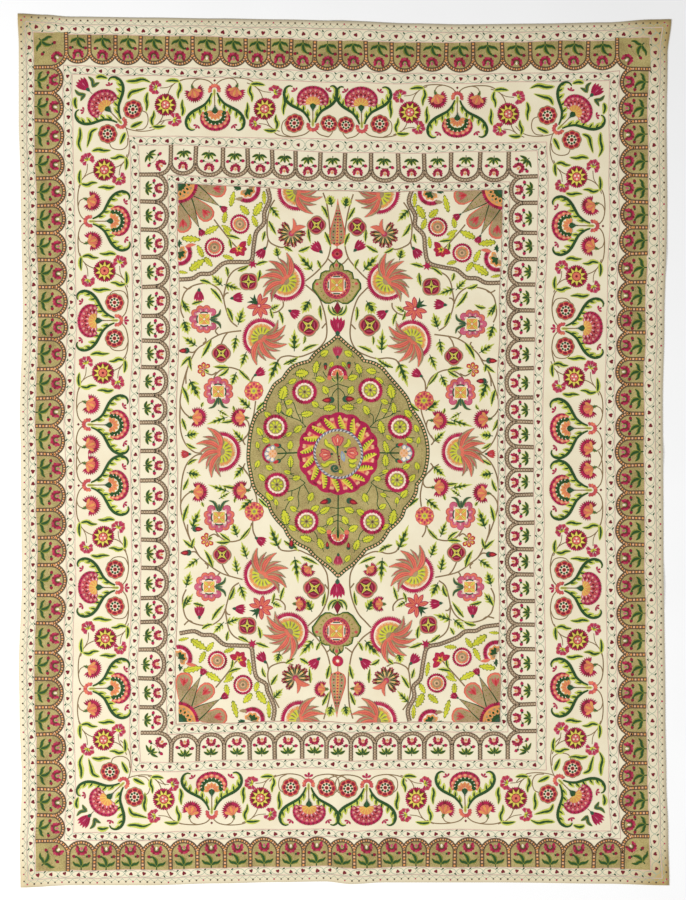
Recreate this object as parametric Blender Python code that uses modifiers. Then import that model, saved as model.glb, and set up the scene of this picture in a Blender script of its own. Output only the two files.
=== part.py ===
"""Embroidered cotton bedspread, spread out flat.

It is one cloth, cut and hemmed in one piece, so it is one closed solid.
Metres, +Z up, +Y towards the head end, +X to the right of someone who looks
down at it. The origin is under the middle of the cloth, on the surface that
it lies on.
"""

import math

import bmesh
import bpy
from mathutils import Vector

# Driving sizes, in metres
CLOTH_WIDTH = 2.00        # between the mean lines of the two long sides
CLOTH_LENGTH = 2.68       # between the mean lines of head and foot
CLOTH_THICKNESS = 0.0025
CELLS_ACROSS = 34
CELLS_ALONG = 46

MM = 0.001

# How far each side bows out from its mean line. "at" is the share of the way
# along the side, from the left or from the foot, and "out" is in millimetres.
SIDE_BOWS = {
    "head": {
        "at": (0.00, 0.04, 0.08, 0.20, 0.30, 0.40, 0.50, 0.60, 0.68, 0.80, 0.90, 0.97, 1.00),
        "out": (19, 15, 9, 6, 3, 0, -4, -12, -15, -13, -9, 0, 1),
    },
    "foot": {
        "at": (0.00, 0.08, 0.20, 0.30, 0.40, 0.47, 0.51, 0.56, 0.75, 0.90, 1.00),
        "out": (10, 3, 3, -3, -7, -9, -1, -6, -6, -2, 3),
    },
    "left": {
        "at": (0.00, 0.05, 0.12, 0.20, 0.25, 0.35, 0.50, 0.54, 0.65, 0.80, 0.88, 0.96, 1.00),
        "out": (1, 3, -3, 4, 6, -3, 0, 3, -6, 0, 6, 6, 10),
    },
    "right": {
        "at": (0.00, 0.06, 0.12, 0.20, 0.40, 0.56, 0.65, 0.78, 0.88, 0.96, 1.00),
        "out": (9, 6, 0, -3, -9, -11, -6, 3, 1, 4, 16),
    },
}

# Soft cockles where the cloth lifts off the surface. Centres are shares of the
# half width and half length, "turn" is the ridge's direction in degrees from
# +X, and its length, breadth and height are in millimetres.
COCKLES = {
    "x": (-0.80, -0.35, 0.15, 0.62, 0.90, 0.91, 0.55, 0.05, -0.50, -0.88, -0.90, 0.30, -0.28, 0.38, -0.42),
    "y": (0.80, 0.90, 0.86, 0.88, 0.45, -0.30, -0.86, -0.90, -0.84, -0.40, 0.22, 0.36, -0.40, -0.46, 0.42),
    "turn": (38, 82, 100, 70, 12, -8, 96, 78, 112, 15, -10, 62, 118, 28, 150),
    "length": (520, 380, 460, 420, 360, 400, 480, 360, 520, 420, 360, 620, 560, 540, 480),
    "breadth": (230, 190, 210, 200, 180, 190, 220, 180, 230, 190, 180, 260, 240, 230, 220),
    "height": (5.5, 4.0, 4.5, 4.0, 4.5, 4.0, 5.0, 3.5, 5.0, 4.0, 3.5, 3.0, 3.0, 2.5, 2.5),
}

# The creases left by folding the cloth in four: one down the middle, one across
CREASE_BREADTH = 0.11
CREASE_HEIGHT = 0.0022
CREASE_DOWN_X = -0.012
CREASE_ACROSS_Y = -0.003

CLOTH_COLOUR = (0.82, 0.74, 0.58, 1.0)


def clear_scene():
    for obj in list(bpy.data.objects):
        bpy.data.objects.remove(obj, do_unlink=True)


def new_collection(name):
    collection = bpy.data.collections.new(name)
    bpy.context.scene.collection.children.link(collection)
    return collection


def cloth_material():
    material = bpy.data.materials.new("ivory_cotton")
    material.use_nodes = True
    shader = material.node_tree.nodes["Principled BSDF"]
    shader.inputs["Base Color"].default_value = CLOTH_COLOUR
    shader.inputs["Roughness"].default_value = 0.9
    shader.inputs["Metallic"].default_value = 0.0
    return material


def smooth_step(share):
    return share * share * (3.0 - 2.0 * share)


def bow(side, share):
    """How far a side bows out, in metres, at a share of the way along it."""
    at = SIDE_BOWS[side]["at"]
    out = SIDE_BOWS[side]["out"]
    for i in range(len(at) - 1):
        if share <= at[i + 1]:
            step = smooth_step((share - at[i]) / (at[i + 1] - at[i]))
            return (out[i] + (out[i + 1] - out[i]) * step) * MM
    return out[-1] * MM


def spread_point(u, v):
    """A point of the flat cloth: u from left to right and v from foot to head, both 0 to 1."""
    low_x = -CLOTH_WIDTH / 2 - bow("left", v)
    high_x = CLOTH_WIDTH / 2 + bow("right", v)
    low_y = -CLOTH_LENGTH / 2 - bow("foot", u)
    high_y = CLOTH_LENGTH / 2 + bow("head", u)
    return low_x + (high_x - low_x) * u, low_y + (high_y - low_y) * v


def crease_lift(distance, run):
    """A crease's low ridge, which fades in and out along its run."""
    share = abs(distance) / (CREASE_BREADTH / 2)
    if share >= 1.0:
        return 0.0
    fade = max(0.0, math.sin(5.2 * run + 0.7)) ** 0.5
    return CREASE_HEIGHT * fade * (1.0 - smooth_step(share))


def lift(x, y):
    """How far the cloth stands off the surface it lies on, zero over most of it."""
    height = max(
        crease_lift(x - CREASE_DOWN_X, y),
        crease_lift(y - CREASE_ACROSS_Y, x + 0.4),
    )
    for i in range(len(COCKLES["x"])):
        turn = math.radians(COCKLES["turn"][i])
        across = x - COCKLES["x"][i] * CLOTH_WIDTH / 2
        along = y - COCKLES["y"][i] * CLOTH_LENGTH / 2
        run = (across * math.cos(turn) + along * math.sin(turn)) / (COCKLES["length"][i] * MM / 2)
        side = (along * math.cos(turn) - across * math.sin(turn)) / (COCKLES["breadth"][i] * MM / 2)
        if abs(run) < 1.0 and abs(side) < 1.0:
            ridge = (1.0 - smooth_step(abs(run))) * (1.0 - smooth_step(abs(side)))
            height = max(height, COCKLES["height"][i] * MM * ridge)
    return height


def centre_on_origin(mesh):
    """Moves the mesh sideways so that the middle of its box is over the origin."""
    low = [min(v.co[axis] for v in mesh.vertices) for axis in (0, 1)]
    high = [max(v.co[axis] for v in mesh.vertices) for axis in (0, 1)]
    middle = Vector(((low[0] + high[0]) / 2, (low[1] + high[1]) / 2, 0.0))
    for vertex in mesh.vertices:
        vertex.co -= middle


def bedspread_cloth(collection):
    """The whole cloth: a grid laid out to its outline, lifted in its cockles and made solid."""
    mesh = bpy.data.meshes.new("bedspread_cloth")
    grid = bmesh.new()
    bmesh.ops.create_grid(grid, x_segments=CELLS_ACROSS, y_segments=CELLS_ALONG, size=0.5)
    for vertex in grid.verts:
        x, y = spread_point(vertex.co.x + 0.5, vertex.co.y + 0.5)
        vertex.co = (x, y, lift(x, y))
    grid.to_mesh(mesh)
    grid.free()
    centre_on_origin(mesh)
    mesh.materials.append(cloth_material())
    cloth = bpy.data.objects.new("bedspread_cloth", mesh)
    collection.objects.link(cloth)
    solid = cloth.modifiers.new("thickness", "SOLIDIFY")
    solid.thickness = CLOTH_THICKNESS
    solid.offset = 1.0
    return cloth


clear_scene()
bedspread_cloth(new_collection("bedspread"))
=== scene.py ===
"""Looks of the embroidered bedspread: the cloth, its silk embroidery, the floor, light and camera.

The cloth repeats the part's outline and lift. The embroidery is drawn on a chart laid over it, whose
steps are 3.1 mm. x counts them to the right and y down, from the corner of the photograph's frame.
"""

import math
import random

import bmesh
import bpy
import numpy as np
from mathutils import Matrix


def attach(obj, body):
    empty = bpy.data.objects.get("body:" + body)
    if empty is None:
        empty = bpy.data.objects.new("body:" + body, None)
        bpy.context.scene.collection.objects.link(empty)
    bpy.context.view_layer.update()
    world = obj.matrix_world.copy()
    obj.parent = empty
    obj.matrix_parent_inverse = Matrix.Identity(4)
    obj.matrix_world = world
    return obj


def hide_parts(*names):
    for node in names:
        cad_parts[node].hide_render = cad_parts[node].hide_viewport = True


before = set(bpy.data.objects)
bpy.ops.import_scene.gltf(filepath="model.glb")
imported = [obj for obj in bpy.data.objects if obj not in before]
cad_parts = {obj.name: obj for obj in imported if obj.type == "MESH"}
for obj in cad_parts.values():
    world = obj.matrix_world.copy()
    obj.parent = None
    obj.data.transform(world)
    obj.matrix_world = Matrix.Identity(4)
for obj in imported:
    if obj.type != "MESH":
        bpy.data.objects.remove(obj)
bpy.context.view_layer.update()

CLOTH_NODE = "bedspread_cloth"

# The cloth, in metres, as in the part
CLOTH_WIDTH = 2.00
CLOTH_LENGTH = 2.68
CLOTH_THICKNESS = 0.0022
CELLS_ACROSS = 150
CELLS_ALONG = 200
MM = 0.001

SIDE_BOWS = {
    "head": {
        "at": (0.00, 0.04, 0.08, 0.20, 0.30, 0.40, 0.50, 0.60, 0.68, 0.80, 0.90, 0.97, 1.00),
        "out": (19, 15, 9, 6, 3, 0, -4, -12, -15, -13, -9, 0, 1),
    },
    "foot": {
        "at": (0.00, 0.08, 0.20, 0.30, 0.40, 0.47, 0.51, 0.56, 0.75, 0.90, 1.00),
        "out": (10, 3, 3, -3, -7, -9, -1, -6, -6, -2, 3),
    },
    "left": {
        "at": (0.00, 0.05, 0.12, 0.20, 0.25, 0.35, 0.50, 0.54, 0.65, 0.80, 0.88, 0.96, 1.00),
        "out": (1, 3, -3, 4, 6, -3, 0, 3, -6, 0, 6, 6, 10),
    },
    "right": {
        "at": (0.00, 0.06, 0.12, 0.20, 0.40, 0.56, 0.65, 0.78, 0.88, 0.96, 1.00),
        "out": (9, 6, 0, -3, -9, -11, -6, 3, 1, 4, 16),
    },
}
COCKLES = {
    "x": (
        -0.80, -0.35, 0.15, 0.62, 0.90, 0.91, 0.55, 0.05, -0.50, -0.88, -0.90, 0.30, -0.28, 0.38, -0.42,
    ),
    "y": (
        0.80, 0.90, 0.86, 0.88, 0.45, -0.30, -0.86, -0.90, -0.84, -0.40, 0.22, 0.36, -0.40, -0.46, 0.42,
    ),
    "turn": (38, 82, 100, 70, 12, -8, 96, 78, 112, 15, -10, 62, 118, 28, 150),
    "length": (520, 380, 460, 420, 360, 400, 480, 360, 520, 420, 360, 620, 560, 540, 480),
    "breadth": (230, 190, 210, 200, 180, 190, 220, 180, 230, 190, 180, 260, 240, 230, 220),
    "height": (5.5, 4.0, 4.5, 4.0, 4.5, 4.0, 5.0, 3.5, 5.0, 4.0, 3.5, 3.0, 3.0, 2.5, 2.5),
}
CREASE_BREADTH = 0.11
CREASE_HEIGHT = 0.0022
CREASE_DOWN_X = -0.012
CREASE_ACROSS_Y = -0.003

# The chart
CHART_STEP = 0.0031
CHART_MIDDLE = (343.5, 452.0)
WOBBLE = 0.3
BASE_RISE = 0.00035
LAYER_RISE = 0.00022
RIM_DROP = 0.00025

THREADS = {
    "crimson": (180, 26, 76),
    "deep_crimson": (140, 20, 50),
    "maroon": (122, 22, 36),
    "scarlet": (196, 48, 52),
    "rose": (206, 98, 124),
    "salmon": (228, 118, 92),
    "coral": (206, 84, 84),
    "orange": (230, 156, 86),
    "straw": (232, 212, 92),
    "lime": (212, 211, 54),
    "leaf_light": (202, 208, 88),
    "moss": (128, 136, 46),
    "forest": (38, 78, 32),
    "teal": (48, 88, 62),
    "sage": (172, 146, 104),
    "khaki": (186, 160, 102),
    "olive": (176, 160, 100),
    "berry": (186, 58, 86),
    "stem": (140, 114, 80),
    "braid": (142, 118, 92),
    "braid_dark": (96, 76, 54),
    "braid_light": (196, 172, 140),
    "bead": (236, 182, 138),
    "pink_line": (220, 186, 168),
    "green_line": (172, 184, 158),
    "cream": (248, 232, 206),
    "slate": (150, 160, 178),
}

rng = random.Random(11)


def smooth_step(share):
    return share * share * (3.0 - 2.0 * share)


def bow(side, share):
    """How far a side bows out, in metres, at shares of the way along it."""
    at = np.array(SIDE_BOWS[side]["at"])
    out = np.array(SIDE_BOWS[side]["out"], float)
    share = np.clip(np.asarray(share, float), 0.0, 1.0)
    i = np.clip(np.searchsorted(at, share, side="left") - 1, 0, len(at) - 2)
    step = smooth_step((share - at[i]) / (at[i + 1] - at[i]))
    return (out[i] + (out[i + 1] - out[i]) * step) * MM


def spread_points(u, v):
    low_x = -CLOTH_WIDTH / 2 - bow("left", v)
    high_x = CLOTH_WIDTH / 2 + bow("right", v)
    low_y = -CLOTH_LENGTH / 2 - bow("foot", u)
    high_y = CLOTH_LENGTH / 2 + bow("head", u)
    return low_x + (high_x - low_x) * u, low_y + (high_y - low_y) * v


def crease_lift(distance, run):
    share = np.clip(np.abs(distance) / (CREASE_BREADTH / 2), 0.0, 1.0)
    fade = np.sqrt(np.maximum(0.0, np.sin(5.2 * run + 0.7)))
    return CREASE_HEIGHT * fade * (1.0 - smooth_step(share))


def lift(x, y):
    """How far the cloth stands off the surface it lies on."""
    height = np.maximum(
        crease_lift(x - CREASE_DOWN_X, y),
        crease_lift(y - CREASE_ACROSS_Y, x + 0.4),
    )
    for i in range(len(COCKLES["x"])):
        turn = math.radians(COCKLES["turn"][i])
        across = x - COCKLES["x"][i] * CLOTH_WIDTH / 2
        along = y - COCKLES["y"][i] * CLOTH_LENGTH / 2
        run = (across * math.cos(turn) + along * math.sin(turn)) / (COCKLES["length"][i] * MM / 2)
        side = (along * math.cos(turn) - across * math.sin(turn)) / (COCKLES["breadth"][i] * MM / 2)
        run = np.clip(np.abs(run), 0.0, 1.0)
        side = np.clip(np.abs(side), 0.0, 1.0)
        ridge = (1.0 - smooth_step(run)) * (1.0 - smooth_step(side))
        height = np.maximum(height, COCKLES["height"][i] * MM * ridge)
    return height


def outline_middle():
    """The middle of the raw outline's box, which the part moves over the origin."""
    share = np.linspace(0.0, 1.0, 401)
    sides = [spread_points(share, 0 * share), spread_points(share, 0 * share + 1)]
    sides += [spread_points(0 * share, share), spread_points(0 * share + 1, share)]
    x = np.concatenate([side[0] for side in sides])
    y = np.concatenate([side[1] for side in sides])
    return (x.min() + x.max()) / 2, (y.min() + y.max()) / 2


SHIFT_X, SHIFT_Y = outline_middle()


def on_cloth(points):
    """Chart points (x, y, rise) as places in metres on the cloth, with a hand's small wobble."""
    chart = np.asarray(points, float)
    x, y, rise = chart[:, 0], chart[:, 1], chart[:, 2]
    sway_x = np.sin(0.093 * y + 0.041 * x) + np.sin(0.047 * x - 0.071 * y + 1.3)
    sway_y = np.sin(0.089 * x - 0.037 * y + 0.6) + np.sin(0.057 * y + 0.068 * x + 2.1)
    raw_x = (x + WOBBLE * sway_x - CHART_MIDDLE[0]) * CHART_STEP
    raw_y = (CHART_MIDDLE[1] - y - WOBBLE * sway_y) * CHART_STEP
    height = lift(raw_x, raw_y) + CLOTH_THICKNESS + rise
    return np.column_stack((raw_x - SHIFT_X, raw_y - SHIFT_Y, height))


# Collecting stitched shapes, one mesh for each thread colour

stitched = {colour: {"points": [], "faces": []} for colour in THREADS}


def add_shape(colour, points, faces):
    store = stitched[colour]
    first = len(store["points"])
    store["points"].extend(points)
    store["faces"].extend(tuple(first + i for i in face) for face in faces)


def rise_of(layer):
    return BASE_RISE + LAYER_RISE * layer


RING_GAP = 5.0


def patch(colour, outline, layer, middle=None):
    """A filled shape, low at its rim and a little higher inside, as padded stitching is."""
    count = len(outline)
    if middle is None:
        middle = (sum(p[0] for p in outline) / count, sum(p[1] for p in outline) / count)
    reach = max(math.hypot(x - middle[0], y - middle[1]) for x, y in outline)
    rings = 1 + int(reach / RING_GAP)
    shoulder = 1.0 - min(0.22, 1.2 / reach)
    high = rise_of(layer)
    points = []
    for ring in range(rings + 1):
        keep = 1.0 if ring == 0 else shoulder * (rings + 1 - ring) / rings
        level = high - RIM_DROP if ring == 0 else high
        for x, y in outline:
            points.append((middle[0] + (x - middle[0]) * keep, middle[1] + (y - middle[1]) * keep, level))
    points.append((middle[0], middle[1], high))
    faces = []
    for ring in range(rings):
        a = ring * count
        b = a + count
        faces += [(a + i, a + (i + 1) % count, b + (i + 1) % count, b + i) for i in range(count)]
    last = rings * count
    faces += [(last + i, last + (i + 1) % count, len(points) - 1) for i in range(count)]
    add_shape(colour, points, faces)


# Every second stitch of a fringe lies a little higher, and most are in its first tone
ODD_STITCH_RISE = 0.00008
MAIN_TONE_SHARE = 0.68


def heading(start, end):
    """The turn of a pen at one chart point that looks towards another."""
    return math.degrees(math.atan2(end[0] - start[0], start[1] - end[1]))


def normal_at(spine, i):
    """The direction across a spine at one of its points, to its left."""
    x0, y0 = spine[max(i - 1, 0)]
    x1, y1 = spine[min(i + 1, len(spine) - 1)]
    run = math.hypot(x1 - x0, y1 - y0) or 1.0
    return (y1 - y0) / run, (x0 - x1) / run


def both_sides(side):
    """A closed outline from one of its halves, whose ends lie on its axis."""
    return list(side) + [(-a, b) for a, b in reversed(side[1:-1])]


def scaled(pairs, share):
    return [(a * share, b * share) for a, b in pairs]


def box(wide, long):
    """The corners of a rectangle round the pen's place."""
    return [(-wide / 2, -long / 2), (wide / 2, -long / 2), (wide / 2, long / 2), (-wide / 2, long / 2)]


def flat_shape(colour, corners, rise):
    """A small shape of one face, without padding."""
    add_shape(colour, [(x, y, rise) for x, y in corners], [tuple(range(len(corners)))])


def blade(colour, spine, widths, layer, left=1.0, right=1.0):
    """A strip along a spine: widths are half widths, left and right scale its two sides."""
    high = rise_of(layer)
    low = high - RIM_DROP
    points = []
    for i, (x, y) in enumerate(spine):
        nx, ny = normal_at(spine, i)
        w = widths[i]
        points.append((x + nx * w * left, y + ny * w * left, low))
        points.append((x, y, high))
        points.append((x - nx * w * right, y - ny * w * right, low))
    faces = []
    for i in range(len(spine) - 1):
        a, b = 3 * i, 3 * i + 3
        if left:
            faces.append((a, a + 1, b + 1, b))
        if right:
            faces.append((a + 1, a + 2, b + 2, b + 1))
    add_shape(colour, points, faces)


def line(colour, points, width, layer):
    blade(colour, points, [width / 2] * len(points), layer)


def curve(points, steps=5):
    """A smooth curve through the points."""
    ends = [points[0]] + list(points) + [points[-1]]
    out = []
    for i in range(1, len(ends) - 2):
        p0, p1, p2, p3 = ends[i - 1:i + 3]
        for k in range(steps):
            t = k / steps
            out.append(tuple(
                0.5 * (2 * p1[j] + (p2[j] - p0[j]) * t + (2 * p0[j] - 5 * p1[j] + 4 * p2[j] - p3[j]) * t * t
                       + (3 * p1[j] - p0[j] - 3 * p2[j] + p3[j]) * t ** 3)
                for j in (0, 1)))
    out.append(tuple(points[-1]))
    return out


class Pen:
    """A place on the chart with a direction, a size and a handedness.

    b runs forward and a to the right of it. At turn 0 forward is up the chart.
    """

    def __init__(self, x, y, turn=0.0, size=1.0, flip=1):
        self.x, self.y, self.turn, self.size, self.flip = x, y, turn, size, flip
        self.cos = math.cos(math.radians(turn))
        self.sin = math.sin(math.radians(turn))

    def at(self, a, b):
        a = a * self.flip * self.size
        b = b * self.size
        return self.x + a * self.cos + b * self.sin, self.y + a * self.sin - b * self.cos

    def path(self, pairs):
        return [self.at(a, b) for a, b in pairs]

    def pen(self, a, b, turn=0.0, size=1.0, flip=1):
        x, y = self.at(a, b)
        return Pen(x, y, self.turn + self.flip * turn, self.size * size, self.flip * flip)

    def spoke(self, angle, reach=0.0, turn=0.0):
        """A pen out along a spoke at an angle, looking outwards or turned further."""
        return self.pen(0, 0, angle).pen(0, reach, turn)

    def polar(self, radius, angle):
        """A point at an angle from forward, in degrees towards a."""
        turn = math.radians(angle)
        return self.at(radius * math.sin(turn), radius * math.cos(turn))


def around(pen, radius, count=20, start=0.0, stop=360.0):
    """Points on an arc or a closed round shape. radius is a number or a function of the angle."""
    steps = count if stop - start >= 360.0 else count - 1
    points = []
    for i in range(count):
        angle = start + (stop - start) * i / steps
        points.append(pen.polar(radius(angle) if callable(radius) else radius, angle))
    return points


def disc(colour, pen, radius, layer, count=16):
    patch(colour, around(pen, radius, count), layer, (pen.x, pen.y))


def lobes(radius, count, depth, shift=0.0):
    """A radius that swells and dips count times round the circle."""
    def at_angle(angle):
        return radius * (1.0 - depth * (1.0 - abs(math.cos(math.radians(count * (angle + shift)) / 2))))
    return at_angle


def star(colour, pen, outer, inner, points, layer, shift=0.0):
    outline = []
    for i in range(2 * points):
        radius = outer if i % 2 == 0 else inner
        outline.append(pen.polar(radius, shift + 180.0 * i / points))
    patch(colour, outline, layer, middle=(pen.x, pen.y))


def petal(colour, pen, length, width, layer, fat=0.6):
    """A petal from the pen forwards, widest at the share fat of its length."""
    side = []
    for i in range(7):
        t = i / 6
        swell = math.sin(math.pi * t ** (math.log(0.5) / math.log(fat)))
        side.append((width / 2 * swell ** 0.75, length * t))
    patch(colour, pen.path(both_sides(side)), layer, middle=pen.at(0, length * 0.55))


def spray(colour, pen, angles, length, width, layer, fat=0.6, reach=0.0):
    """Petals of one kind that point away from the pen at the given angles."""
    for angle in angles:
        petal(colour, pen.spoke(angle, reach), length, width, layer, fat)


def wreath(colour, pen, count, reach, length, width, layer, fat=0.6, start=0.0):
    """Petals evenly round a circle, pointing outwards."""
    angles = [start + 360 / count * i for i in range(count)]
    spray(colour, pen, angles, length, width, layer, fat, reach)


def dots(colour, pen, count, reach, radius, layer):
    """Small dots evenly round a circle."""
    for i in range(count):
        disc(colour, pen.spoke(360 / count * i, reach), radius, layer, count=6)


def arc_line(colour, pen, radius, start, stop, width, layer, count=14):
    line(colour, around(pen, radius, count, start, stop), width, layer)


def stitch(colour, place, low, step, band, number, layer):
    """One wide stitch across a band, from its inner edge to a pointed tip.

    place gives the chart point at a radius and an angle. band holds the inner and the outer radius
    and how far the outer edge dips between two tips.
    """
    inner, outer, notch = band
    dip = outer * (1 - notch)
    marks = ((inner, 0), (dip, 0), (outer, 0.5), (dip, 1), (inner, 1))
    rise = rise_of(layer) + (ODD_STITCH_RISE if number % 2 else 0.0)
    flat_shape(colour, [place(radius, low + step * share) for radius, share in marks], rise)


def fringe(pen, inner, outer, start, stop, stitches, layer, tones=("crimson", "deep_crimson"), notch=0.08):
    """A band of radial stitches with a toothed rim, in two tones."""
    step = (stop - start) / stitches
    for i in range(stitches):
        tone = tones[0] if rng.random() < MAIN_TONE_SHARE else tones[1]
        stitch(tone, pen.polar, start + step * i, step, (inner, outer, notch), i, layer)


# Small flowers, buds and leaves


def side_path(spine, widths, share):
    """The path beside a spine at a share of its half width, to its left."""
    path = []
    for i, (x, y) in enumerate(spine):
        nx, ny = normal_at(spine, i)
        path.append((x + nx * widths[i] * share, y + ny * widths[i] * share))
    return path


def barbs(colour, spine, widths, layer, every=3):
    """Small pointed teeth that lean forward from both sides of a leaf."""
    for i in range(2, len(spine) - 1, every):
        root = Pen(*spine[i - 1], heading(spine[i - 1], spine[i]))
        w = widths[i]
        for side in (-1, 1):
            tooth = [(side * w * 0.3, -w * 0.7), (side * w * 1.5, w * 1.3), (side * w * 0.3, w * 0.9)]
            flat_shape(colour, root.path(tooth), rise_of(layer))


def slim_leaf(pen, length, width=3.6, bend=0.0, dark="forest", light="leaf_light"):
    """A willow leaf, light along its barbed edges and dark inside."""
    spine = []
    widths = []
    for i in range(8):
        t = i / 7
        spine.append(pen.at(bend * math.sin(math.pi * t), length * t))
        widths.append(width * 0.46 * math.sin(math.pi * (0.06 + 0.94 * t) ** 0.85) + 0.12)
    blade(light, spine, widths, 1)
    barbs(light, spine, widths, 1, 2)
    blade(dark, spine[:7], [w * 0.7 for w in widths[:7]], 2, left=0.95, right=0.45)


def thistle_leaf(pen, length, width):
    """A leaf with pointed barbs at both sides: light barbs with a dark middle."""
    for share, reach, slant in ((0.08, 0.66, 48), (0.34, 0.64, 40), (0.6, 0.46, 30)):
        for side in (-1, 1):
            root = pen.pen(0, length * share * 0.8, side * slant)
            petal("leaf_light", root, width * reach * 1.12, width * 0.27, 1, fat=0.42)
            petal("forest", root, width * reach * 0.66, width * 0.13, 2, fat=0.4)
    petal("leaf_light", pen, length, width * 0.36, 1, fat=0.45)
    petal("forest", pen, length * 0.82, width * 0.2, 3, fat=0.4)
    line("forest", pen.path([(0, -1.5), (0, length * 0.4)]), 0.7, 3)


def wavy_leaf(points, width=3.8, dark="forest", light="leaf_light", layer=1, core=0.56):
    """A long pointed leaf that bends through the given places, light at its edges and dark inside."""
    spine = curve(points, 4)
    last = len(spine) - 1
    swell = [math.sin(math.pi * (0.03 + 0.95 * i / last) ** 0.86) ** 0.9 for i in range(last + 1)]
    widths = [width * 0.56 * s + 0.1 for s in swell]
    blade(light, spine, widths, layer)
    barbs(light, spine, [w * 0.74 for w in widths], layer)
    blade(dark, spine[1:-1], [w * core for w in widths[1:-1]], layer + 1, left=0.95, right=0.7)


def blossom(pen, radius=6.8, layer=2):
    """A small ragged carnation: rose and coral petals in a fan round a lime cup."""
    for i in range(7):
        leaf = pen.pen(0, -radius * 0.2, -124 + 248 * i / 6 + rng.uniform(-5, 5))
        length = radius * rng.uniform(0.98, 1.16)
        petal("coral" if i % 3 else "rose", leaf, length, radius * 0.7, layer + i % 2, fat=0.8)
        petal("berry", leaf, length * 0.88, radius * 0.48, layer + 1 + i % 2, fat=0.78)
        line("crimson", leaf.path([(0, radius * 0.3), (0, length * 0.96)]), 0.7, layer + 3)
    cup = pen.pen(0, -radius * 0.4)
    spray("lime", cup, (-50, 50), radius * 0.6, radius * 0.24, layer + 4, 0.5)
    petal("moss", cup, radius * 0.6, radius * 0.24, layer + 4, fat=0.5)


def tulip(pen, size=5.0, tone="crimson", dark="deep_crimson", layer=2):
    """An egg-shaped bud of pointed petals that part a little at their tips, on a green calyx."""
    disc(tone, pen.pen(0, -size * 0.2), size * 0.66, layer, count=12)
    for i, angle in enumerate((-20, 20, -10, 10, 0)):
        leaf = pen.pen(angle * 0.012 * size, -size * 0.9, angle)
        petal(tone, leaf, size * (2.1 if i < 2 else 2.3), size * 0.56, layer + i // 2, fat=0.56)
        line(dark, leaf.path([(0, size * 0.6), (0, size * 1.6)]), 0.55, layer + 3)
    petal("rose", pen.pen(size * 0.1, -size * 0.3), size * 0.9, size * 0.22, layer + 4, fat=0.6)
    petal("teal", pen.pen(0, -size * 1.4), size * 0.85, size * 0.6, layer + 4, fat=0.6)


def drop_bud(pen, size=4.2, layer=2):
    """A pointed red bud that sits in a dark round calyx."""
    disc("teal", pen.pen(0, -size * 0.5), size * 0.74, layer, count=10)
    petal("maroon", pen.pen(0, -size * 0.6), size * 2.1, size * 1.2, layer + 1, fat=0.36)
    petal("scarlet", pen.pen(0, -size * 0.2), size * 1.3, size * 0.6, layer + 2, fat=0.4)


def flame_flower(pen, radius=7.4, layer=2):
    """A small flower of five red and orange petals in a fan."""
    for i in range(5):
        leaf = pen.pen(0, -radius * 0.3, -104 + 52 * i)
        petal("scarlet", leaf, radius * 1.1, radius * 0.66, layer + i % 2, fat=0.72)
        petal("orange", leaf.pen(0, radius * 0.24), radius * 0.66, radius * 0.36, layer + 2, fat=0.7)
        disc("straw", leaf.pen(0, radius * 0.66), radius * 0.12, layer + 3, count=6)
    slim_leaf(pen.pen(0, -radius * 0.3, 180), radius * 0.8, 3.2, 0, "forest", "leaf_light")


CUP_SIDE = ((0, -0.9), (0.5, -0.74), (0.86, -0.1), (0.98, 0.4), (0.7, 0.66), (0.4, 0.62), (0.2, 0.96),
            (0, 1.0))


def cup_flower(pen, size=6.0, layer=3):
    """A salmon cup with three scallops along its mouth, outlined in dark pink."""
    shape = both_sides(CUP_SIDE)
    patch("berry", pen.path(scaled(shape, size)), layer)
    patch("salmon", pen.path(scaled(shape, size * 0.82)), layer + 1)
    petal("coral", pen.pen(0, -size * 0.6), size * 1.2, size * 0.56, layer + 2)
    petal("salmon", pen.pen(0, -size * 0.5), size * 1.0, size * 0.36, layer + 3)
    for side in (-1, 1):
        seam = [(side * size * 0.12, -size * 0.6), (side * size * 0.5, size * 0.44)]
        line("berry", pen.path(seam), 0.5, layer + 3)
    line("cream", pen.path([(0, -size * 0.2), (0, size * 0.34)]), 0.6, layer + 4)
    petal("teal", pen.pen(0, -size * 1.2), size * 0.5, size * 0.36, layer + 2, fat=0.5)


def trefoil(pen, size=3.4, layer=2):
    spray("crimson", pen.pen(0, -size * 0.6), (-55, 0, 55), size * 1.3, size * 0.6, layer, 0.65)


def crescent(pen, radius=6.5, layer=2):
    """A thick salmon crescent that opens forward, with a scalloped back."""
    fringe(pen, radius * 0.46, radius * 1.04, 66, 294, 9, layer, ("coral", "salmon"), notch=0.13)
    arc_line("berry", pen, radius * 0.48, 66, 294, 0.6, layer + 1)
    for angle in (66, 294):
        line("berry", [pen.polar(radius * 0.46, angle), pen.polar(radius * 0.96, angle)], 0.5, layer + 1)


def half_carnation(pen, radius=10.2, layer=2):
    """A flower seen from the side: a spiky crimson fringe forward, an orange heart, a leaf behind."""
    fringe(pen, radius * 0.56, radius * 1.04, -126, 126, int(radius * 1.9), layer + 1, notch=0.24)
    arc_line("maroon", pen, radius * 0.57, -126, 126, 0.8, layer + 2)
    disc("salmon", pen.pen(0, radius * 0.05), radius * 0.5, layer + 1, count=12)
    root = pen.pen(0, -radius * 0.42)
    spray("coral", root, range(-52, 53, 26), radius * 0.94, radius * 0.34, layer + 3, 0.7)
    spray("orange", root, (-52, 0, 52), radius * 0.9, radius * 0.28, layer + 4, 0.7)
    spray("salmon", root, (-26, 26), radius * 0.9, radius * 0.28, layer + 4, 0.7)
    slim_leaf(pen.pen(0, -radius * 0.2, 180), radius * 0.72, 3.0, 0, "teal", "moss")


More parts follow.
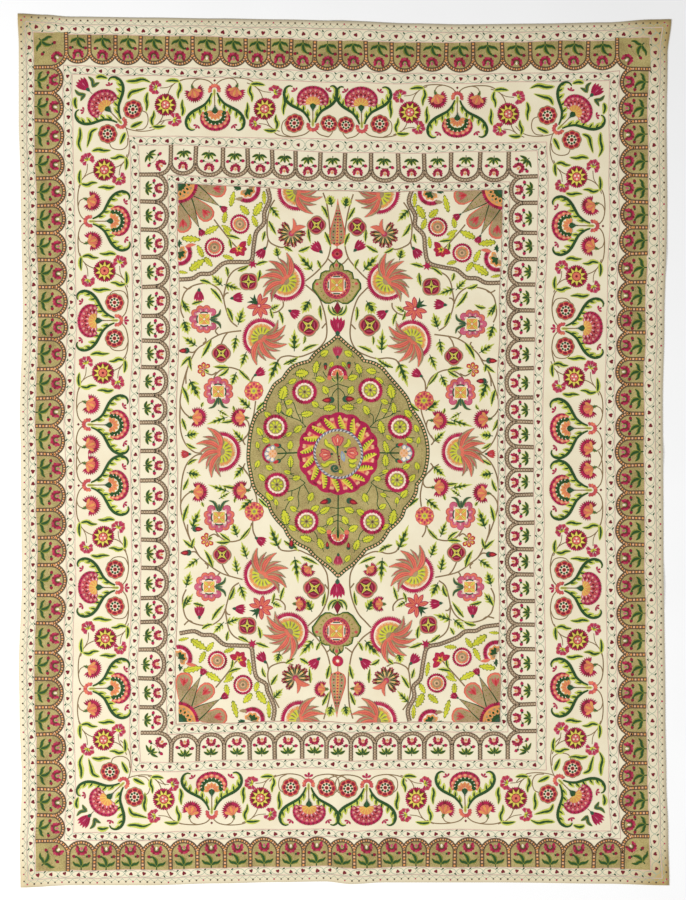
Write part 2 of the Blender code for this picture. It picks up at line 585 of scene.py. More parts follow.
def pointed_flower(pen, radius=10.0, layer=2):
    """Five pointed crimson petals in an uneven fan round a small green and yellow star."""
    for i, (angle, reach) in enumerate(((-98, 1.05), (-48, 0.8), (4, 0.88), (56, 0.84), (108, 1.05))):
        leaf = pen.spoke(angle)
        petal("crimson", leaf, radius * reach, radius * 0.62, layer, fat=0.5)
        petal("scarlet", leaf.pen(0, radius * 0.2), radius * reach * 0.62, radius * 0.3, layer + 1, fat=0.5)
        line("deep_crimson", leaf.path([(0, radius * 0.3), (0, radius * reach * 0.8)]), 0.6, layer + 2)
    star("orange", pen, radius * 0.42, radius * 0.22, 5, layer + 3)
    star("lime", pen, radius * 0.36, radius * 0.12, 4, layer + 4, 20)
    star("forest", pen, radius * 0.24, radius * 0.08, 4, layer + 5, 60)


def ring_rosette(pen, radius, middle="flower", layer=2):
    """Crimson fringe round a pale scalloped ring round a small flower or a beige disc."""
    fringe(pen, radius * 0.7, radius, 0, 360, int(radius * 3.0), layer, notch=0.1)
    if middle == "flower":
        disc("rose", pen, lobes(radius * 0.75, 16, 0.06), layer + 1, count=48)
        disc("cream", pen, lobes(radius * 0.71, 16, 0.1, 11), layer + 2, count=48)
        disc("salmon", pen, radius * 0.56, layer + 3, count=20)
        disc("olive", pen, radius * 0.53, layer + 4, count=20)
        wreath("moss", pen, 8, radius * 0.1, radius * 0.42, radius * 0.28, layer + 5, 0.66)
        wreath("lime", pen, 8, radius * 0.12, radius * 0.36, radius * 0.2, layer + 6, 0.66)
        disc("braid_dark", pen, radius * 0.1, layer + 7, count=8)
    else:
        disc("cream", pen, lobes(radius * 0.74, 16, 0.08), layer + 2, count=48)
        fringe(pen, radius * 0.44, radius * 0.68, 0, 360, 22, layer + 3, ("salmon", "orange"), notch=0.14)
        disc("sage", pen, radius * 0.47, layer + 4, count=16)
        disc("bead", pen, radius * 0.26, layer + 5, count=12)
        disc("sage", pen, radius * 0.18, layer + 6, count=8)
        disc("braid_dark", pen, radius * 0.08, layer + 7, count=6)


def lobed_rosette(pen, radius=9.9, layer=2):
    """The border's round flower: eight crimson lobes in salmon, green seeds and a dark middle."""
    disc("braid", pen, lobes(radius, 8, 0.08), layer, count=32)
    disc("sage", pen, lobes(radius * 0.96, 8, 0.08), layer + 1, count=32)
    disc("salmon", pen, lobes(radius * 0.9, 8, 0.1), layer + 2, count=32)
    wreath("scarlet", pen, 8, radius * 0.48, radius * 0.42, radius * 0.56, layer + 3, start=4)
    wreath("deep_crimson", pen, 8, radius * 0.48, radius * 0.3, radius * 0.46, layer + 4, start=4)
    disc("salmon", pen, radius * 0.56, layer + 5, count=18)
    disc("cream", pen, radius * 0.51, layer + 6, count=18)
    dots("forest", pen, 8, radius * 0.38, radius * 0.135, layer + 7)
    disc("salmon", pen, radius * 0.22, layer + 7, count=10)
    disc("maroon", pen, radius * 0.16, layer + 8, count=8)


def half_flower(pen, radius, heart_tone, ring, layer=2):
    """The half flower of a scallop or an arch: ragged crimson petals round a ringed heart."""
    for i in range(9):
        leaf = pen.spoke(60 + 30 * i, radius * 0.3)
        tone = ("crimson", "berry", "deep_crimson")[i % 3]
        petal(tone, leaf, radius * rng.uniform(0.66, 0.78), radius * 0.46, layer, fat=0.7)
    arc_line("deep_crimson", pen, radius * 0.52, 64, 296, radius * 0.2, layer + 1)
    arc_line(ring, pen, radius * 0.36, 64, 296, 0.7, layer + 2)
    petal(heart_tone, pen.pen(0, -radius * 0.2), radius * 0.62, radius * 0.36, layer + 3, fat=0.6)


def sunflower(pen, radius=11.4, layer=2):
    """Straw petals on a green star in a crimson fringe, with one dark or six pale seeds in its heart."""
    fringe(pen, radius * 0.78, radius, 0, 360, 32, layer + 1, notch=0.11)
    disc("maroon", pen, radius * 0.84, layer, count=20)
    star("forest", pen, radius * 0.88, radius * 0.5, 10, layer + 2)
    star("lime", pen, radius * 0.85, radius * 0.46, 10, layer + 3)
    wreath("straw", pen, 10, 0, radius * 0.76, radius * 0.2, layer + 4)
    disc("deep_crimson", pen, radius * 0.42, layer + 5, count=16)
    disc("salmon", pen, lobes(radius * 0.37, 8, 0.12), layer + 6, count=16)
    if rng.random() < 0.3:
        disc("maroon", pen, radius * 0.12, layer + 7, count=8)
        return
    for i in range(6):
        seed = pen.spoke(60 * i, radius * 0.18)
        disc("cream" if i % 2 else "rose", seed, radius * 0.09, layer + 7, count=6)


def round_rosette(pen, radius=9.8, layer=2):
    """A salmon rosette with a wreath of crimson flecks, orange dots and a yellow-green ring."""
    disc("coral", pen, lobes(radius, 12, 0.07), layer, count=36)
    disc("salmon", pen, lobes(radius * 0.93, 12, 0.07), layer + 1, count=36)
    for i in range(12):
        far = i % 2
        leaf = pen.spoke(30 * i)
        petal("berry", leaf.pen(0, radius * (0.3 if far else 0.46)), radius * 0.42, radius * 0.24, layer + 2)
        dot, reach, size = ("straw", 0.8, 0.1) if far else ("orange", 0.38, 0.14)
        disc(dot, leaf.pen(0, radius * reach), radius * size, layer + 3, count=6)
    disc("coral", pen, radius * 0.36, layer + 3, count=14)
    disc("lime", pen, radius * 0.32, layer + 4, count=12)
    disc("sage", pen, radius * 0.18, layer + 5, count=8)


def jewel(pen, radius=9.0, layer=2):
    """A crimson quatrefoil with a beige rim and a yellow-green star."""
    rims = (("braid", 1.1), ("sage", 1.05), ("coral", 0.97), ("deep_crimson", 0.86))
    for step, (colour, share) in enumerate(rims):
        disc(colour, pen, lobes(radius * share, 4, 0.13, 45), layer + step, count=32)
    for turn in (0, 90, 180, 270):
        line("rose", pen.spoke(turn + 45).path([(-2.4, radius * 0.56), (2.4, radius * 0.56)]), 0.6, layer + 4)
        line("moss", pen.spoke(turn).path([(0, 0.5), (0, radius * 0.56)]), 0.4, layer + 7)
    star("forest", pen, radius * 0.86, radius * 0.3, 4, layer + 5)
    star("straw", pen, radius * 0.78, radius * 0.22, 4, layer + 6)
    disc("braid_dark", pen, radius * 0.14, layer + 8, count=8)


def star_daisy(pen, radius=12.2, layer=2):
    """Seven narrow salmon petals edged with crimson, and three dark leaves at its open side."""
    for i in range(7):
        angle = -126 + 42 * i + rng.uniform(-5, 5)
        petal("berry", pen.spoke(angle), radius * 1.04, radius * 0.42, layer, fat=0.55)
        petal("salmon", pen.spoke(angle), radius * 0.94, radius * 0.28, layer + 1, fat=0.58)
        line("scarlet", pen.spoke(angle).path([(0, radius * 0.2), (0, radius * 0.74)]), 0.5, layer + 2)
    disc("berry", pen, radius * 0.2, layer + 3, count=8)
    disc("cream", pen, radius * 0.1, layer + 4, count=6)
    for angle, bend in ((152, 1.8), (182, 0.4), (208, -1.8)):
        slim_leaf(pen.spoke(angle), radius * 1.0, 3.2, bend, "forest", "teal")


def spider_flower(pen, radius=14.5, layer=2):
    """Pointed petals striped beige, green and maroon round a pink heart, with two salmon sepals forward."""
    for i in range(7):
        leaf = pen.spoke(64 + 232 * i / 6, radius * 0.08)
        petal("berry", leaf, radius * 0.94, radius * 0.46, layer)
        petal("sage", leaf, radius * 0.86, radius * 0.4, layer + 1)
        petal("bead", leaf.pen(0, radius * 0.2), radius * 0.5, radius * 0.16, layer + 2)
        for side in (-1, 1):
            tip = leaf.pen(0, radius * 0.5, side * 24)
            petal("maroon", tip, radius * 0.42, radius * 0.12, layer + 3, fat=0.5)
            stripe = leaf.pen(side * radius * 0.07, radius * 0.16, side * 8)
            petal("forest", stripe, radius * 0.56, radius * 0.1, layer + 3)
        line("straw", leaf.path([(0, radius * 0.3), (0, radius * 0.66)]), 0.6, layer + 4)
    disc("berry", pen, radius * 0.2, layer + 5, count=12)
    disc("rose", pen, radius * 0.1, layer + 6, count=8)
    for angle, bend, width in ((-20, 2.4, 1.5), (38, -2.4, 2.3)):
        leaf = pen.spoke(angle)
        spine = [leaf.at(bend * math.sin(math.pi * t / 6), radius * 1.06 * t / 6) for t in range(7)]
        swell = (0.6, 0.8, 0.9, 1.0, 0.9, 0.6, 0.15)
        blade("coral", spine, [width * share * 1.15 for share in swell], layer + 6)
        blade("salmon", spine, [width * share * 0.9 for share in swell], layer + 7)


def peony(pen, radius=15.0, layer=2):
    """A horseshoe of salmon lobes and pink petals round a yellow square, open where its leaves grow."""
    span = 138
    angles = [-span + 2 * span * i / 8 for i in range(9)]
    for i, angle in enumerate(angles):
        lobe = pen.spoke(angle, radius * 0.74)
        disc("berry", lobe, radius * 0.27, layer, count=12)
        disc("salmon" if i % 4 else "rose", lobe, radius * 0.23, layer + 1, count=12)
    arc_line("berry", pen, radius * 0.6, -span, span, 3.6, layer + 2, count=24)
    spray("rose", pen, angles, radius * 0.42, radius * 0.36, layer + 3, 0.56, radius * 0.42)
    spray("pink_line", pen, angles, radius * 0.18, radius * 0.12, layer + 4, 0.5, radius * 0.54)
    patch("cream", pen.path(box(radius * 0.94, radius * 0.94)), layer + 4)
    for angle in (-90, 0, 90):
        arc_line("teal", pen, radius * 0.49, angle - 32, angle + 32, 1.3, layer + 5, count=7)
    square_heart(pen, radius * 0.37, layer + 5)
    line("teal", pen.path([(0, -radius * 0.3), (0, -radius * 0.86)]), 1.3, layer + 5)
    for side in (-1, 1):
        leaf = [(side * 0.06, -0.36), (side * 0.16, -0.7), (side * 0.34, -1.0), (side * 0.66, -1.1)]
        wavy_leaf(pen.path(scaled(leaf, radius)), 2.5, "teal", "moss", layer + 4, 0.8)


def square_heart(pen, half, layer):
    """An orange square with a straw petal in each corner and a pale dot in its middle."""
    patch("orange", pen.path(box(2 * half, 2 * half)), layer)
    wreath("straw", pen, 4, 0, half * 1.3, half * 0.5, layer + 1, 0.66, start=45)
    for turn in (45, 135, 225, 315):
        line("moss", pen.spoke(turn).path([(0, 0.4), (0, half)]), 0.45, layer + 2)
    disc("cream", pen, half * 0.2, layer + 3, count=6)


def lotus(pen, radius=20.5, layer=2):
    """A great fan: toothed crimson rim behind, a striped disc, and curling sepals forward."""
    back = pen.spoke(180)
    disc("cream", pen, radius * 0.82, layer, count=28)
    fringe(back, radius * 0.77, radius, -110, 110, 42, layer + 1, ("crimson", "berry"), notch=0.1)
    fringe(back, radius * 0.6, radius * 0.73, -110, 110, 34, layer + 1, ("orange", "bead"), notch=0.12)
    disc("orange", pen, radius * 0.62, layer + 1, count=26)
    disc("leaf_light", pen, lobes(radius * 0.56, 12, 0.1), layer + 2, count=48)
    for i in range(10):
        leaf = back.spoke(-108 + 24 * i)
        curl_leaf("lime", leaf.pen(0, radius * 0.2), radius * 0.36, 3.0, 1.6, layer + 3)
        curl_leaf("sage", leaf.spoke(12, radius * 0.24), radius * 0.32, 2.0, 0.6, layer + 3)
        curl_leaf("moss", leaf.pen(1.2, radius * 0.3), radius * 0.2, 1.0, 1.0, layer + 4)
    disc("sage", pen, radius * 0.2, layer + 4, count=12)
    for i in range(8):
        sepal = pen.pen(-2.6 + 0.75 * i, 0, -88 + 21 * i)
        swirl_sepal(sepal, radius, i % 2, layer + 4 + 2 * (i % 2))


def swirl_sepal(pen, radius, broad, layer):
    """One waving, pointed sepal: broad and salmon with a thin beige edge, or slim and beige between."""
    length = radius * (1.24 if broad else 1.08)
    hook = radius * 0.2
    spine = [pen.at(hook * math.sin(3.4 * t / 8) + 0.1 * t * (t > 5), length * t / 8) for t in range(9)]
    widths = [w * (1.02 if broad else 0.7) for w in (0.9, 1.9, 2.7, 3.0, 2.9, 2.5, 1.8, 1.0, 0.2)]
    blade("braid", spine, [w * 1.2 + 0.1 for w in widths], layer)
    blade("salmon" if broad else "sage", spine, widths, layer + 1)
    if broad:
        line("sage", side_path(spine, widths, 0.74)[1:8], 1.3, layer + 2)
        line("coral", side_path(spine, widths, -0.3)[1:7], 0.8, layer + 2)
        line("scarlet", side_path(spine, widths, 0.3)[1:6], 0.5, layer + 2)
    else:
        line("coral", side_path(spine, widths, -0.5)[1:8], 1.0, layer + 2)


ACANTHUS_BACK = ((2.4, 8), (4.6, 13.4), (9.3, 19.4), (15.2, 23), (21.8, 26.6), (26.6, 31.2), (28.8, 37.2),
                 (27.4, 42.4), (24, 44.8), (20.8, 44.2))


def acanthus(pen, side, spread=1.0, layer=2):
    """One of the pair of great curled leaves that hold a fan: a dark back and barbs towards the fan."""
    route = curve([(side * a * spread, b) for a, b in ACANTHUS_BACK], 3)
    spine = pen.path(route)
    last = len(spine) - 1
    dark = [1.95 * math.sin(math.pi * min(1.0, 0.1 + 0.86 * i / last)) ** 0.8 + 0.22 for i in range(last + 1)]
    to_fan, away = (1.0, 0.35) if side * pen.flip > 0 else (0.35, 1.0)
    for i in range(3, round(last * 0.74), 3):
        share = i / last
        barb = pen.pen(route[i][0], route[i][1], side * (10 - 40 * share))
        length = 8.8 - 2.8 * share
        petal("leaf_light", barb, length, 4.6, layer, fat=0.34)
        petal("forest", barb, length * 0.74, 1.9, layer + 1, fat=0.34)
    blade("leaf_light", spine, [w * 1.3 for w in dark], layer + 1, left=to_fan, right=away * 0.5)
    blade("forest", spine, dark, layer + 3, left=away, right=to_fan)


# The two kinds of fan: half its width, the height of its middle and its height above that
FAN_SHAPES = {"A": (16.4, 6.2, 13.2), "B": (15.2, 6.4, 12.2)}
FAN_END = 115.0
# Its toothed rim: inner and outer reach, and how far the teeth are cut
FAN_RIM = (0.85, 1.03, 0.05)


def fan_at(kind, reach, angle):
    """A place in the fan: reach 1 is its rounded rim and 0 the foot it grows from."""
    wide, rise, tall = FAN_SHAPES[kind]
    turn = math.radians(angle)
    return reach * wide * math.sin(turn), reach * (rise + tall * math.cos(turn))


def fan_ring(pen, kind, reach, count=24):
    return [pen.at(*fan_at(kind, reach, FAN_END * (2 * i / (count - 1) - 1))) for i in range(count)]


def fan_rim(pen, kind, stitches, layer):
    def place(reach, angle):
        return pen.at(*fan_at(kind, reach, angle))
    step = 2 * FAN_END / stitches
    for i in range(stitches):
        tone = "crimson" if i % 3 else "deep_crimson"
        stitch(tone, place, -FAN_END + step * i, step, FAN_RIM, i, layer)


def fan_petals(pen, kind, reach, count, colour, length, width, layer, shift=0.0, fat=0.6):
    """Petals that point outwards along a ring of the fan."""
    for i in range(count):
        angle = FAN_END * 0.92 * (2 * (i + shift) / (count - 1) - 1)
        if abs(angle) <= FAN_END * 0.95:
            a, b = fan_at(kind, reach, angle)
            petal(colour, pen.pen(a, b, angle * 0.88), length, width, layer, fat=fat)


def fan(pen, kind, layer=3):
    """The rounded half flower of the main border, as the two kinds of it."""
    fan_rim(pen, kind, 42 if kind == "A" else 36, layer)
    if kind == "A":
        patch("coral", fan_ring(pen, kind, 0.88), layer + 1, middle=pen.at(0, 6))
        fan_petals(pen, kind, 0.64, 10, "deep_crimson", 4.4, 4.4, layer + 2)
        fan_petals(pen, kind, 0.67, 10, "rose", 4.0, 3.6, layer + 3)
        fan_petals(pen, kind, 0.71, 10, "bead", 2.2, 1.6, layer + 4)
        fan_petals(pen, kind, 0.5, 10, "maroon", 3.4, 2.2, layer + 3, shift=0.5)
        fan_petals(pen, kind, 0.34, 8, "rose", 5.2, 2.5, layer + 4)
        fan_petals(pen, kind, 0.42, 8, "cream", 2.8, 0.8, layer + 5)
        patch("orange", fan_ring(pen, kind, 0.45), layer + 5, middle=pen.at(0, 3))
        for angle in (-90, -54, -18, 18, 54, 90):
            line("straw", pen.path([(0, 0.5), fan_at(kind, 0.43, angle)]), 0.6, layer + 6)
    else:
        patch("berry", fan_ring(pen, kind, 0.88), layer + 1, middle=pen.at(0, 6))
        fan_petals(pen, kind, 0.64, 9, "salmon", 4.6, 5.2, layer + 2)
        fan_petals(pen, kind, 0.74, 9, "bead", 2.0, 2.4, layer + 3)
        patch("leaf_light", fan_ring(pen, kind, 0.68), layer + 4, middle=pen.at(0, 5))
        fan_petals(pen, kind, 0.44, 10, "forest", 5.2, 4.6, layer + 5, fat=0.36)
        fan_petals(pen, kind, 0.6, 10, "cream", 1.6, 1.1, layer + 6, shift=0.5)
        patch("cream", fan_ring(pen, kind, 0.46), layer + 6, middle=pen.at(0, 3))
        fan_petals(pen, kind, 0.08, 7, "orange", 6.8, 3.6, layer + 7)
        fan_petals(pen, kind, 0.1, 7, "salmon", 4.8, 1.4, layer + 8)
    petal("forest", pen.pen(0, -6.6), 8.4, 6.2, layer + 9, fat=0.7)
    line("teal", pen.path([(0, -6.6), (0, 0.5)]), 1.0, layer + 10)


def fan_vine(pen, side, kind, squeezed=False):
    """The stem from the crescent to the next sunflower, with a shoot to the flower beside the fan."""
    spread = 0.84 if squeezed else 1.0
    if kind == "A":
        main = [(2, 1.2), (8, -3.6), (18, -5.8), (28, -5.2), (35.5, -3), (40, 1)]
        shoot = [(22, -5.6), (28.6, -2.6), (30.6, 3), (29.6, 9), (26, 12.5)]
    else:
        main = [(0.5, 0.8), (5.5, -4), (13, -6.4), (23, -7), (32, -6), (38.5, -3)]
        shoot = [(14.5, -6.6), (20, -5), (22.4, -1), (21.4, 2.6)]
    if squeezed:
        main = main[:3]
        shoot = main[-1:] + [(22, -2), (24, 3)]
    line("stem", curve(pen.path([(side * a * spread, b) for a, b in main])), 1.15, 0)
    line("stem", curve(pen.path([(side * a * spread, b) for a, b in shoot])), 1.0, 0)


def fan_with_leaves(pen, kind, squeezed=0):
    """A fan on its crescent, between two great leaves. The leaf at a squeezed side is narrower."""
    crescent(pen.pen(0, 5.2))
    petal("leaf_light", pen.pen(0, 3.4), 10, 2.8, 1, fat=0.3)
    line("stem", pen.path([(0, 5), (0, 21)]), 1.0, 2)
    fan(pen.pen(0, 25.7 if kind == "A" else 27.2), kind)
    for side in (-1, 1):
        spread = 0.84 if side == squeezed else 1.0
        acanthus(pen, side, spread)
        trefoil(pen.pen(side * 19 * spread, 41.5, side * 30))


def fan_motif(pen, kind, squeezed=0):
    """A fan of the border with the stems and flowers at its sides."""
    fan_with_leaves(pen, kind, squeezed)
    for side in (-1, 1):
        near = side == squeezed
        fan_vine(pen, side, kind, near)
        if kind == "A":
            lobed_rosette(pen.pen(side * (16.0 if near else 18.2), 7.6), 8.9 if near else 9.9)
        else:
            half_carnation(pen.pen(side * 20.2, 7.0, -side * 20))
    if kind != "A":
        disc("maroon", pen.pen(0, -4.6), 1.4, 2, count=4)
    elif not squeezed:
        trefoil(pen.pen(0, -4.5, 180), 4.2)


CORNER_MOTIFS = ((121.5, 123, 1, 1), (558.5, 128.5, -1, 1), (123, 783, 1, -1), (559, 780, -1, -1))
CORNER_LEAVES = (
    ((-23.5, 6), (-30, 9), (-32, 16), (-34.5, 25)),
    ((-42, 4), (-41.5, 12.5), (-43, 21), (-39.5, 29)),
    ((4.5, 9.5), (1.5, 15.5), (-1.5, 22)),
    ((-45, -25.5), (-46.5, -20), (-44.5, -13.5)),
)
CORNER_VINES = (
    ((3.5, 2), (6.5, 9), (8, 20), (7, 30), (4, 37), (-2, 43)),
    ((6.6, 15), (6, 22), (2, 26), (-4, 27), (-10, 25), (-12.4, 19)),
)


def corner_motif(x, y, right, down):
    """The diagonal fan in a corner of the main border, with what grows at its two sides.

    x and y are its crescent. right and down tell where the field lies from it.
    """
    pen = Pen(x, y, math.degrees(math.atan2(-right, down))).pen(0, -5.2)
    fan_with_leaves(pen, "A")
    line("stem", pen.path([(0, 46), (0, 52)]), 0.8, 1)
    tulip(pen.pen(0, 57.4), 6.0)
    for swap in (False, True):
        def place(inwards, along):
            if swap:
                return x + right * along, y + down * inwards
            return x + right * inwards, y + down * along
        for leaf in CORNER_LEAVES:
            wavy_leaf([place(*spot) for spot in leaf], 4.8)
        for vine in CORNER_VINES:
            line("stem", curve([place(*spot) for spot in vine]), 1.0, 0)
        for shoot in (((-35, -28.3), (-42, -28.6), (-46, -33)), ((-35.5, -27.5), (-38, -26), (-40.5, -21.5))):
            wavy_leaf([place(*spot) for spot in shoot], 3.4, "teal", "moss")
        rosette_x, rosette_y = place(-13.5, 11.5)
        lobed_rosette(Pen(rosette_x, rosette_y, pen.turn), 10.0)


def sunflower_group(pen):
    """A sunflower with its vine, leaves and two blossoms; the half nearer the field is a little smaller.

    Forward is towards the fans that face outwards, and a points inwards.
    """
    sunflower(pen)
    for turn, size in ((0, 1.0), (180, 0.9)):
        half = pen.pen(0, 0, turn, size)
        line("stem", curve(half.path([(-25.4, -17.5), (-22, -9.6), (-16.5, -4.6), (-9.6, -1.8)])), 1.0, 0)
        line("stem", curve(half.path([(-21, -8.4), (-17.4, -2), (-16.4, 6)])), 0.85, 0)
        blossom(half.pen(-16.9, 11.4, -18, 1.0 / size))
        wavy_leaf(half.path([(-23.4, -13.6), (-17, -15), (-12, -12.8), (-6, -12.8)]), 4.4)
        wavy_leaf(half.path([(-23.8, -14.5), (-24.6, -7), (-23.2, 0.6)]), 4.2)
        wavy_leaf(half.path([(-12.4, 18.2), (-6, 19.8), (0, 18.6), (7, 19.2)]), 4.6)
        slim_leaf(half.pen(-19.6, 14.6, -145), 7, 2.4)


# Where the bands lie. Depths are chart steps in from the cloth's edge, one for the edge and one for
# each line between bands.

(OUTER_LINE, OLIVE_ROOT, OLIVE_TIP, SECOND_OUT, SECOND_IN, MAIN_IN, ARCADE_ROOT, ARCADE_TIP, FOURTH_OUT,
 FIELD_EDGE) = range(1, 11)
BAND_DEPTHS = {
    "left": (0, 7.1, 15.5, 43, 44, 54, 109.5, 119.5, 145.5, 146.5, 156.5),
    "right": (0, 7, 19, 45.5, 47.5, 58, 119, 129.5, 156, 157, 165),
    "head": (0, 7.5, 18, 45.5, 49, 58.5, 118, 127.5, 155.5, 157, 165.5),
    "head_middle": (0, 7.5, 20, 48, 50, 62, 118, 132, 158.5, 160, 170.5),
    "foot": (0, 7, 15.5, 43, 44.5, 53, 113, 123, 149, 150, 160.5),
}
HEAD_MIDDLE_X = 335.0
HEAD_MIDDLE_REACH = 95.0
SIDES = ("head", "right", "foot", "left")
INWARD = {"head": 180, "right": -90, "foot": 0, "left": 90}


def edge_at(side, along):
    """The cloth's edge, as x for a long side and y for the head or foot."""
    if side in ("left", "right"):
        share = ((CHART_MIDDLE[1] - along) * CHART_STEP + CLOTH_LENGTH / 2) / CLOTH_LENGTH
        reach = (CLOTH_WIDTH / 2 + float(bow(side, share))) / CHART_STEP
        return CHART_MIDDLE[0] + (reach if side == "right" else -reach)
    share = ((along - CHART_MIDDLE[0]) * CHART_STEP + CLOTH_WIDTH / 2) / CLOTH_WIDTH
    reach = (CLOTH_LENGTH / 2 + float(bow(side, share))) / CHART_STEP
    return CHART_MIDDLE[1] + (reach if side == "foot" else -reach)


def depth_at(side, along, row):
    """How far in from the edge a band line lies. The head's bands lie deeper towards its middle."""
    depths = BAND_DEPTHS[side]
    depth = float(np.interp(row, range(len(depths)), depths))
    if side == "head":
        middle = float(np.interp(row, range(len(depths)), BAND_DEPTHS["head_middle"]))
        share = math.exp(-((along - HEAD_MIDDLE_X) / HEAD_MIDDLE_REACH) ** 2)
        depth += (middle - depth) * share
    return depth


def band_point(side, along, row):
    """A chart point at a place along a side, on a band line or between two of them."""
    depth = depth_at(side, along, row)
    edge = edge_at(side, along)
    if side == "left":
        return edge + depth, along
    if side == "right":
        return edge - depth, along
    if side == "head":
        return along, edge + depth
    return along, edge - depth


def band_corner(across, down, row):
    """Where a band line meets that of the next side: across is left or right, down head or foot."""
    x, y = (100.0 if across == "left" else 590.0), (100.0 if down == "head" else 800.0)
    for _ in range(4):
        x = band_point(across, y, row)[0]
        y = band_point(down, x, row)[1]
    return x, y


def band_span(side, row):
    if side in ("left", "right"):
        return band_corner(side, "head", row)[1], band_corner(side, "foot", row)[1]
    return band_corner("left", side, row)[0], band_corner("right", side, row)[0]


def band_track(side, row, step=9.0):
    low, high = band_span(side, row)
    count = max(2, round((high - low) / step))
    return [band_point(side, low + (high - low) * i / count, row) for i in range(count + 1)]


def frame_line(row, colour, width, layer=0):
    for side in SIDES:
        line(colour, band_track(side, row), width, layer)


def stations(points, pitch):
    """Evenly spaced places along a path, each with the path's direction in degrees."""
    lengths = [math.hypot(b[0] - a[0], b[1] - a[1]) for a, b in zip(points, points[1:])]
    total = sum(lengths)
    count = max(1, round(total / pitch))
    places = []
    i, passed = 0, 0.0
    for k in range(count):
        goal = total * (k + 0.5) / count
        while i < len(lengths) - 1 and passed + lengths[i] < goal:
            passed += lengths[i]
            i += 1
        share = (goal - passed) / (lengths[i] or 1.0)
        (x0, y0), (x1, y1) = points[i], points[i + 1]
        turn = heading(points[i], points[i + 1])
        places.append((x0 + (x1 - x0) * share, y0 + (y1 - y0) * share, turn))
    return places


# Braids

BRAID_WIDTH = 4.2


def block(colour, x, y, turn, long, wide, layer):
    flat_shape(colour, Pen(x, y, turn).path(box(wide, long)), rise_of(layer))


def olive_braid(points, tones=("orange", "bead"), pitch=2.7, bead=1.9):
    """Beads in two tones on a dark line, round the olive scallops."""
    line("braid_dark", points, 4.3, 3)
    for i, (x, y, turn) in enumerate(stations(points, pitch)):
        block(tones[i % 2], x, y, turn, pitch * 0.56, bead, 4)


def brown_braid(points):
    """A brown braid with dark rims and a row of light ticks down its middle."""
    line("braid", points, BRAID_WIDTH, 3)
    for x, y, turn in stations(points, 2.8):
        pen = Pen(x, y, turn)
        block("braid_light", x, y, turn, 1.7, 1.7, 4)
        for rim in (-1, 1):
            place = pen.at(rim * BRAID_WIDTH * 0.4, 0)
            block("braid_dark", place[0], place[1], turn, 1.7, 0.9, 4)


# Guard stripes

GUARD_PITCH = 13.3
GUARDS = ((OUTER_LINE, OLIVE_ROOT), (SECOND_OUT, SECOND_IN), (MAIN_IN, ARCADE_ROOT), (FOURTH_OUT, FIELD_EDGE))
HEART_SIDE = ((0, -1), (0.75, -0.1), (0.95, 0.55), (0.45, 0.95), (0, 0.7))


def heart(pen, size, layer=2):
    patch("maroon", pen.path(scaled(both_sides(HEART_SIDE), size)), layer)


def guard_stripe(side, out_row, in_row):
    """A wavy vine in ovals between two pink lines, with a small heart in each oval."""
    middle = (out_row + in_row) / 2
    low, high = band_span(side, middle)
    count = round((high - low) / GUARD_PITCH)
    pitch = (high - low) / count
    for i in range(count):
        start = low + pitch * i
        for wave in (-1, 1):
            points = []
            for k in range(9):
                row = middle + wave * (in_row - out_row) * 0.37 * math.sin(math.pi * k / 8) ** 0.5
                points.append(band_point(side, start + pitch * k / 8, row))
            line("green_line", points, 0.62, 0)
        along = start + pitch * 0.5 + rng.uniform(-0.8, 0.8)
        x, y = band_point(side, along, middle + rng.uniform(-0.05, 0.05))
        turn = INWARD[side] + rng.uniform(-35, 35) + (180 if i % 2 else 0)
        heart(Pen(x, y, turn), rng.uniform(1.9, 2.3))
        row = middle + (0.3 if i % 2 else -0.3) * (in_row - out_row)
        x, y = band_point(side, start + rng.uniform(-0.6, 0.6), row)
        turn = INWARD[side] + (50 if i % 2 else -50) + rng.uniform(-15, 15)
        petal("teal", Pen(x, y, turn).pen(0, -1.4), 3.2, 1.5, 1)


def guard_stripes():
    for out_row, in_row in GUARDS:
        for side in SIDES:
            guard_stripe(side, out_row, in_row)
        for row, shift in ((out_row, 0.04), (in_row, -0.04)):
            frame_line(row + shift, "pink_line", 0.9)
    frame_line(FIELD_EDGE, "stem", 0.5)
    frame_line(OUTER_LINE, "green_line", 0.5)


def outer_strip():
    """The edge band: tiny florets along the hem over a scalloped vine."""
    for side in SIDES:
        low, high = band_span(side, 0.4)
        count = round((high - low) / 7.1)
        pitch = (high - low) / count
        for i in range(count):
            x, y = band_point(side, low + pitch * (i + 0.5), 0.45)
            disc("berry" if i % 5 == 0 else "braid_dark", Pen(x, y), rng.uniform(0.8, 1.05), 1, count=6)
            points = []
            for k in range(5):
                row = 0.9 - 0.34 * math.sin(math.pi * k / 4)
                points.append(band_point(side, low + pitch * (i + k / 4), row))
            line("green_line", points, 0.5, 0)


# Scallops and arches

